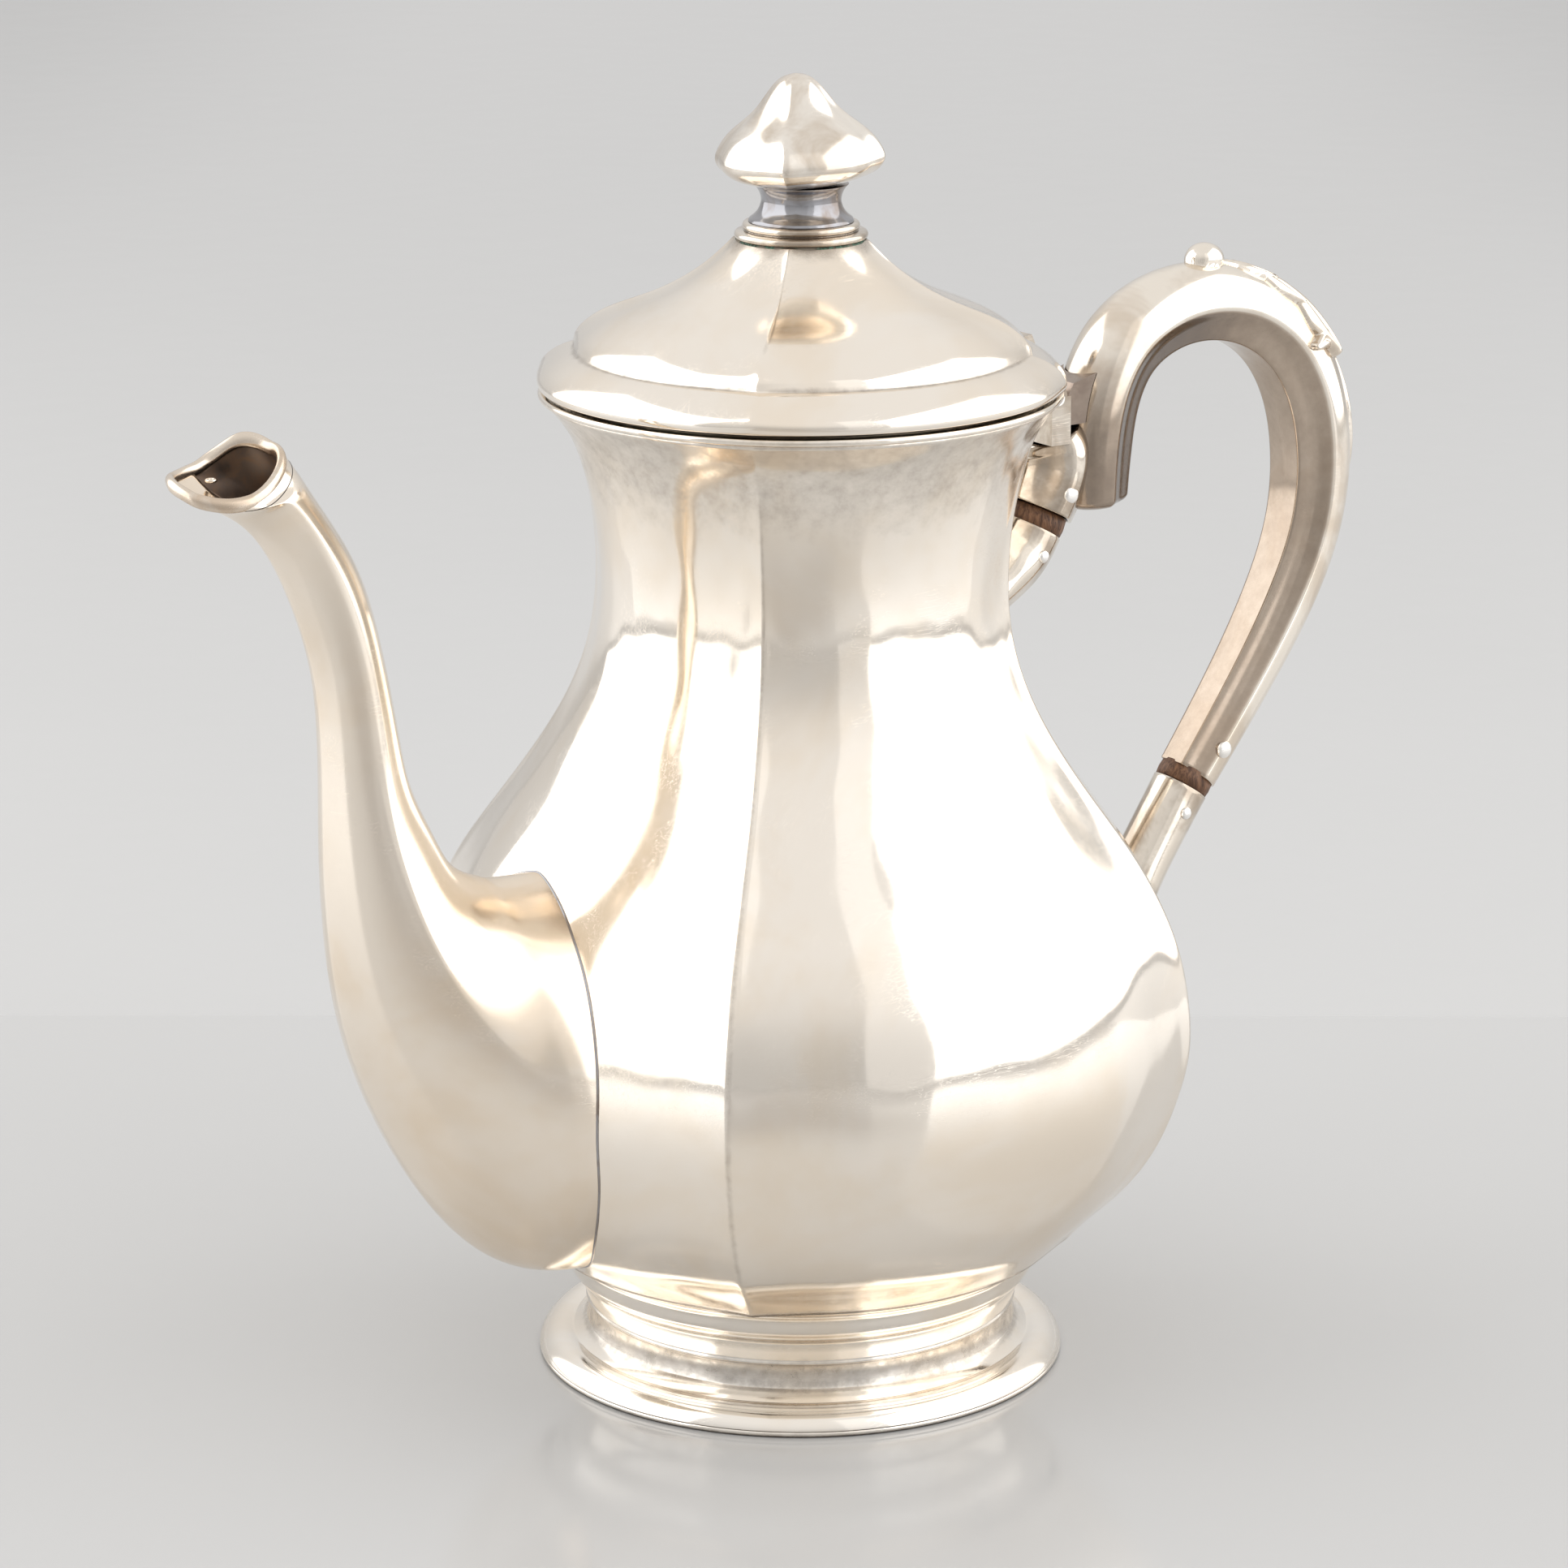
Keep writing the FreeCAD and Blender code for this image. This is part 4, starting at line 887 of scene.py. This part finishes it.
LEAF_START = 48.0       # run along the handle at the middle of the bud, mm
BUD_RADIUS, BUD_HEIGHT = 3.1, 3.5
LEAF_ROOT = -0.45       # mm over the handle where there is no leaf
HALF_WIDTH = 7.6        # of the handle under the leaf, mm
PETALS = [
    # run and angle at the root, run and angle at the tip, half width mm, height mm
    (2.0, 0.0, 28.0, 0.0, 1.5, 1.0), (4.5, 0.0, 11.5, 24.0, 1.5, 1.5),
    (8.5, 4.0, 17.0, 40.0, 2.1, 1.7), (15.0, 14.0, 27.0, 46.0, 3.0, 2.3),
    (30.0, 6.0, 22.5, 80.0, 2.2, 1.9), (25.0, 0.0, 52.0, 0.0, 1.5, 1.1)]


def leaf_height(run, angle):
    """Height of the leaf over the handle: bud, middle rib, paired petals and tail."""
    run, angle = np.broadcast_arrays(run - LEAF_START, np.abs(angle))
    across = np.radians(angle) * HALF_WIDTH
    height = np.full(run.shape, LEAF_ROOT)
    for root_run, root_angle, tip_run, tip_angle, half, rise in PETALS:
        root = np.array([root_run, math.radians(root_angle) * HALF_WIDTH])
        tip = np.array([tip_run, math.radians(tip_angle) * HALF_WIDTH])
        line = tip - root
        share = ((run - root[0]) * line[0] + (across - root[1]) * line[1]) / (line @ line)
        share = np.clip(share, 0, 1)
        bow = 0.12 * np.sin(math.pi * share)
        away = np.hypot(run - root[0] - line[0] * share + bow * line[1],
                        across - root[1] - line[1] * share - bow * line[0])
        width = half * (0.25 + 0.75 * np.sin(math.pi * np.clip(0.08 + 0.9 * share, 0, 1)) ** 0.7)
        place = away / width
        blade = rise * np.sqrt(np.maximum(0, 1 - place ** 2)) * (0.55 + 0.45 * share)
        blade = blade - 0.30 * rise * np.exp(-(place / 0.28) ** 2)
        height = np.maximum(height, np.where(place < 1, blade, LEAF_ROOT))
    bud = BUD_HEIGHT * np.sqrt(np.maximum(0, 1 - (run ** 2 + across ** 2) / BUD_RADIUS ** 2))
    return np.maximum(height, np.where(bud > 0, bud, LEAF_ROOT))


def leaf_grid():
    run = np.linspace(LEAF_START - 4.5, LEAF_START + 54.0, 300)[:, None]
    angles = np.linspace(-94, 94, 150)[None]
    top = handle_surface(run, angles, leaf_height(run, angles))
    under = handle_surface(run, angles[:, ::-1], -1.0)
    return np.concatenate([top, under], axis=1)


piece("handle_leaf_shell", [(leaf_grid(), False, True)], HANDLE_SILVER, nodes=("handle_leaf",))


# ------------------------------ sleeves at the joints

def squared(angle, power):
    """Radius factor of a square section with rounded corners."""
    turn = np.radians(angle)
    return (np.abs(np.cos(turn)) ** power + np.abs(np.sin(turn)) ** power) ** (-1.0 / power)


def sleeve_surface(path, power=2.0, wobble=0.0):
    """Tube square to a path of (x, z, half thickness, half width); t runs from 0 to 1."""
    shape, length = chord_spline(path)

    def surface(t, angle):
        t, angle = np.broadcast_arrays(t, angle)
        centre, outward, size = path_frame(shape, t * length)
        factor = squared(angle + 45.0, power) if power != 2.0 else 1.0
        factor = factor * (1 + wobble * np.cos(4 * np.radians(angle)) * np.sin(math.pi * t))
        turn = np.radians(angle)
        out = size[..., 0] * factor * np.cos(turn)
        side = size[..., 1] * factor * np.sin(turn)
        return centre + outward * out[..., None] + np.array([0, 1, 0]) * side[..., None]
    return surface


def sleeve_mouth(edge, inward, wall=0.8, deep=3.0):
    """Rows that turn in from an edge round a wall's thickness and down the bore."""
    middle = edge.mean(axis=0)
    reach = np.linalg.norm(edge - middle, axis=1).mean()
    rows = []
    for share, back in ((0.0, 0.0), (0.12, -0.10), (0.5, -0.14), (0.88, -0.10), (1.0, 0.0),
                        (1.02, 0.4), (1.02, deep)):
        rows.append(middle + (edge - middle) * (1 - share * wall / reach) + inward * back)
    return np.array(rows)


ROUND = np.linspace(0, 360, 72, endpoint=False)

ferrule = sleeve_surface([(52.5, 147.7, 5.9, 5.9), (54.6, 151.9, 6.1, 6.0), (55.9, 156.0, 6.1, 6.0),
                          (55.6, 159.6, 5.9, 5.9), (54.9, 161.2, 5.2, 5.3)], 3.8, 0.035)
ferrule_rows = ferrule(np.linspace(0, 1, 50)[:, None], ROUND[None])
ferrule_top = ferrule_rows[-1].mean(axis=0)
dome = [ferrule_top + (ferrule_rows[-1] - ferrule_top) * math.cos(t)
        + np.array([-0.25, 0, 0.97]) * 1.1 * math.sin(t) for t in np.linspace(0.2, 1.45, 8)]
piece("ferrule", [(np.concatenate([sleeve_mouth(ferrule_rows[0], UPPER_UP)[::-1],
                                   ferrule_rows[1:], dome]), False, True)],
      JOINT_SILVER, nodes=("upper_ferrule",), grime=even(0.12))

UPPER_SEAT = UPPER_MOUTH - UPPER_UP * GAP
LOWER_SEAT = LOWER_END - LOWER_UP * GAP


SEAM_REACH = 1.6        # mm over which the sockets' seams are tarnished


def socket_piece(name, path, up, nodes, power):
    """Sleeve from its open mouth to its seam on the pot."""
    surface = sleeve_surface(path[::-1], power, 0.03)
    rows, _ = from_seam(surface, ROUND, rows=60, tight=1.3, sunk=0.2)
    mouth = sleeve_mouth(rows[-1], -up)
    seam = rows[0]
    fade = near_line(seam, SEAM_REACH)
    piece(name, [(np.concatenate([rows, mouth[1:]]), False, True)], JOINT_SILVER, nodes=nodes,
          grime=lambda p: fade(p) * 0.8)
    piece(name + "_solder", [(bead_grid(seam, 0.3), True, False)], STEM_SILVER,
          grime=even(0.8))


socket_piece("upper_socket_shell", [
    (UPPER_SEAT[0], UPPER_SEAT[2], 5.3, 5.3), (48.7, 141.2, 5.4, 5.4), (45.9, 138.6, 5.5, 5.5),
    (41.6, 135.2, 5.0, 5.2), (35.5, 132.6, 5.6, 6.2), (30.0, 131.6, 7.0, 7.6)],
    UPPER_UP, ("upper_socket",), 2.6)
socket_piece("lower_socket_shell", [
    (LOWER_SEAT[0], LOWER_SEAT[2], 5.3, 5.3), (81.5, 84.2, 5.3, 5.3), (75.4, 75.0, 5.5, 5.5),
    (68.5, 64.0, 6.6, 6.9), (61.0, 53.0, 8.5, 8.5)], LOWER_UP, ("lower_socket",), 2.0)


def insulator_piece(name, start, up, nodes, power):
    """Wooden ring in the gap, with its plugs inside the sleeves."""
    def row(along, radius, factor):
        outward = np.array([-up[2], 0, up[0]])
        turn = np.radians(ROUND)[:, None]
        return (start + up * along + outward * radius * factor[:, None] * np.cos(turn)
                + np.array([0, 1, 0]) * radius * factor[:, None] * np.sin(turn))
    ring = squared(ROUND + 45.0, power) if power != 2.0 else np.ones(len(ROUND))
    plain = np.ones(len(ROUND))
    profile = [(-GAP - 6, 4.0, plain), (-GAP - 0.05, 4.0, plain), (-GAP, 4.6, ring),
               (-GAP + 0.2, 5.1, ring), (-GAP / 2, 5.25, ring), (0.3, 5.1, ring),
               (0.6, 4.6, ring), (0.65, 4.0, plain), (8.0, 4.0, plain)]
    piece(name, [(np.array([row(*step) for step in profile]), False, True)], WOOD,
          slot="insulator", nodes=nodes)


insulator_piece("upper_wood", UPPER_MOUTH, UPPER_UP, ("upper_insulator",), 2.6)
insulator_piece("lower_wood", LOWER_END, LOWER_UP, ("lower_insulator",), 2.0)


def rivet_grid(centre, radius, half_length, head=0.9):
    """Pin across the handle with a domed head at each end."""
    profile = []
    for k in range(9):
        turn = math.pi / 2 * k / 8
        profile.append((radius * 1.12 * math.sin(turn), half_length + head * math.cos(turn)))
    profile += [(radius * 1.05, half_length - 0.25), (radius * 0.9, half_length - 0.5)]
    profile += [(r, -y) for r, y in profile[::-1]]
    turn = np.linspace(0, 2 * math.pi, 32, endpoint=False)
    return np.array([[(centre[0] + r * math.cos(t), y, centre[2] + r * math.sin(t))
                      for t in turn] for r, y in profile])


UPPER_RIVET, UPPER_PIN = UPPER_MOUTH + UPPER_UP * 4.6, UPPER_SEAT - UPPER_UP * 4.4
LOWER_RIVET, LOWER_PIN = LOWER_END + LOWER_UP * 6.2, LOWER_SEAT - LOWER_UP * 4.6
piece("big_rivets", [(rivet_grid(UPPER_RIVET, 1.45, 6.7, 0.8), False, False),
                     (rivet_grid(LOWER_RIVET, 1.45, 6.1, 0.8), False, False)],
      RIVET_SILVER, slot="rivet_silver", nodes=("large_rivets",))
piece("little_rivets", [(rivet_grid(UPPER_PIN, 1.05, 5.9, 0.7), False, False),
                        (rivet_grid(LOWER_PIN, 1.05, 5.3, 0.7), False, False)],
      RIVET_SILVER, slot="rivet_silver", nodes=("small_rivets",))

CAD_LOOKS = {
    LUG_SILVER: ("hinge_lug",), JOINT_SILVER: ("hinge_post", "hinge_lid_leaf"),
    RIVET_SILVER: ("hinge_pin",),
    INSIDE_SILVER: ("base_plate", "lid_bezel", "finial_screw", "finial_washer", "finial_nut")}
for look, names in CAD_LOOKS.items():
    for node in names:
        NODES[node].data.materials.clear()
        NODES[node].data.materials.append(look)


# ------------------------------ studio

CAMERA_PLACE = Vector((-0.5294, -0.7561, 0.3576))
CAMERA_AIM = Vector((-0.0024, 0.0017, 0.10463))
LENS, SENSOR = 124.5, 36.0              # mm
BOX_HEIGHT, BOX_MIDDLE = 1.45, 0.755    # every softbox, in metres
ROOM_LEVELS = (0.67, 0.95)              # brightness at table height, and overhead
FRONT_LEVELS = (0.94, 0.85)             # factor away from, and in, the dim part of the room
DIM_BEARING, DIM_DROP = 14, -0.25       # of the dim part: degrees from the camera, and slope


def floor():
    """Wide pale table, level with the foot."""
    turn = np.linspace(0, 2 * math.pi, 96, endpoint=False)
    rows = [np.stack([r * np.cos(turn), r * np.sin(turn), np.zeros(96)], axis=1)
            for r in (0.5, 60.0, 200.0, 600.0, 2000.0, 9000.0)]
    obj = grid_mesh("table", [(np.array(rows), False, False)])
    obj.data.materials.append(table_top("table_top"))


def softbox(name, bearing, distance, width, radiance):
    """Upright light that faces the pot; bearing is measured from the camera's, in degrees."""
    light = bpy.data.lights.new(name, "AREA")
    light.shape = "RECTANGLE"
    light.size, light.size_y = width, BOX_HEIGHT
    light.energy = radiance * math.pi * width * BOX_HEIGHT
    obj = bpy.data.objects.new(name, light)
    turn = VIEW_BEARING + math.radians(bearing)
    obj.location = (distance * math.cos(turn), distance * math.sin(turn), BOX_MIDDLE)
    aim = Vector((0, 0, BOX_MIDDLE)) - obj.location
    obj.rotation_euler = aim.to_track_quat("-Z", "Y").to_euler()
    bpy.context.scene.collection.objects.link(obj)


def room():
    """Pale room that is a little darker behind the camera and lighter overhead."""
    world = bpy.data.worlds.new("room")
    bpy.context.scene.world = world
    g = Graph(world)
    where = g.add("ShaderNodeTexCoord").outputs["Generated"]
    height = g.add("ShaderNodeSeparateXYZ", {0: where}).outputs["Z"]
    dim = VIEW_BEARING + math.radians(DIM_BEARING)
    facing = g.dot(where, (math.cos(dim), math.sin(dim), DIM_DROP))
    level = g.math("MULTIPLY", g.ramp(height, -0.05, 0.75, *ROOM_LEVELS),
                   g.ramp(facing, 0.78, 0.97, *FRONT_LEVELS))
    background = g.add("ShaderNodeBackground", {"Color": (1.0, 0.99, 0.98, 1), "Strength": level})
    g.finish(background, "ShaderNodeOutputWorld")


def camera():
    data = bpy.data.cameras.new("camera")
    data.sensor_width = SENSOR
    data.lens = LENS
    data.clip_start, data.clip_end = 0.05, 50.0
    obj = bpy.data.objects.new("camera", data)
    obj.location = CAMERA_PLACE
    obj.rotation_euler = (CAMERA_AIM - CAMERA_PLACE).to_track_quat("-Z", "Y").to_euler()
    bpy.context.scene.collection.objects.link(obj)
    bpy.context.scene.camera = obj


floor()
softbox("softbox_right", 83.0, 0.90, 1.80, 1.25)
softbox("softbox_right_edge", 29.0, 0.95, 0.32, 0.20)
softbox("softbox_left", -90.0, 0.90, 1.66, 1.25)
room()
camera()
bpy.context.scene.view_settings.view_transform = "Standard"
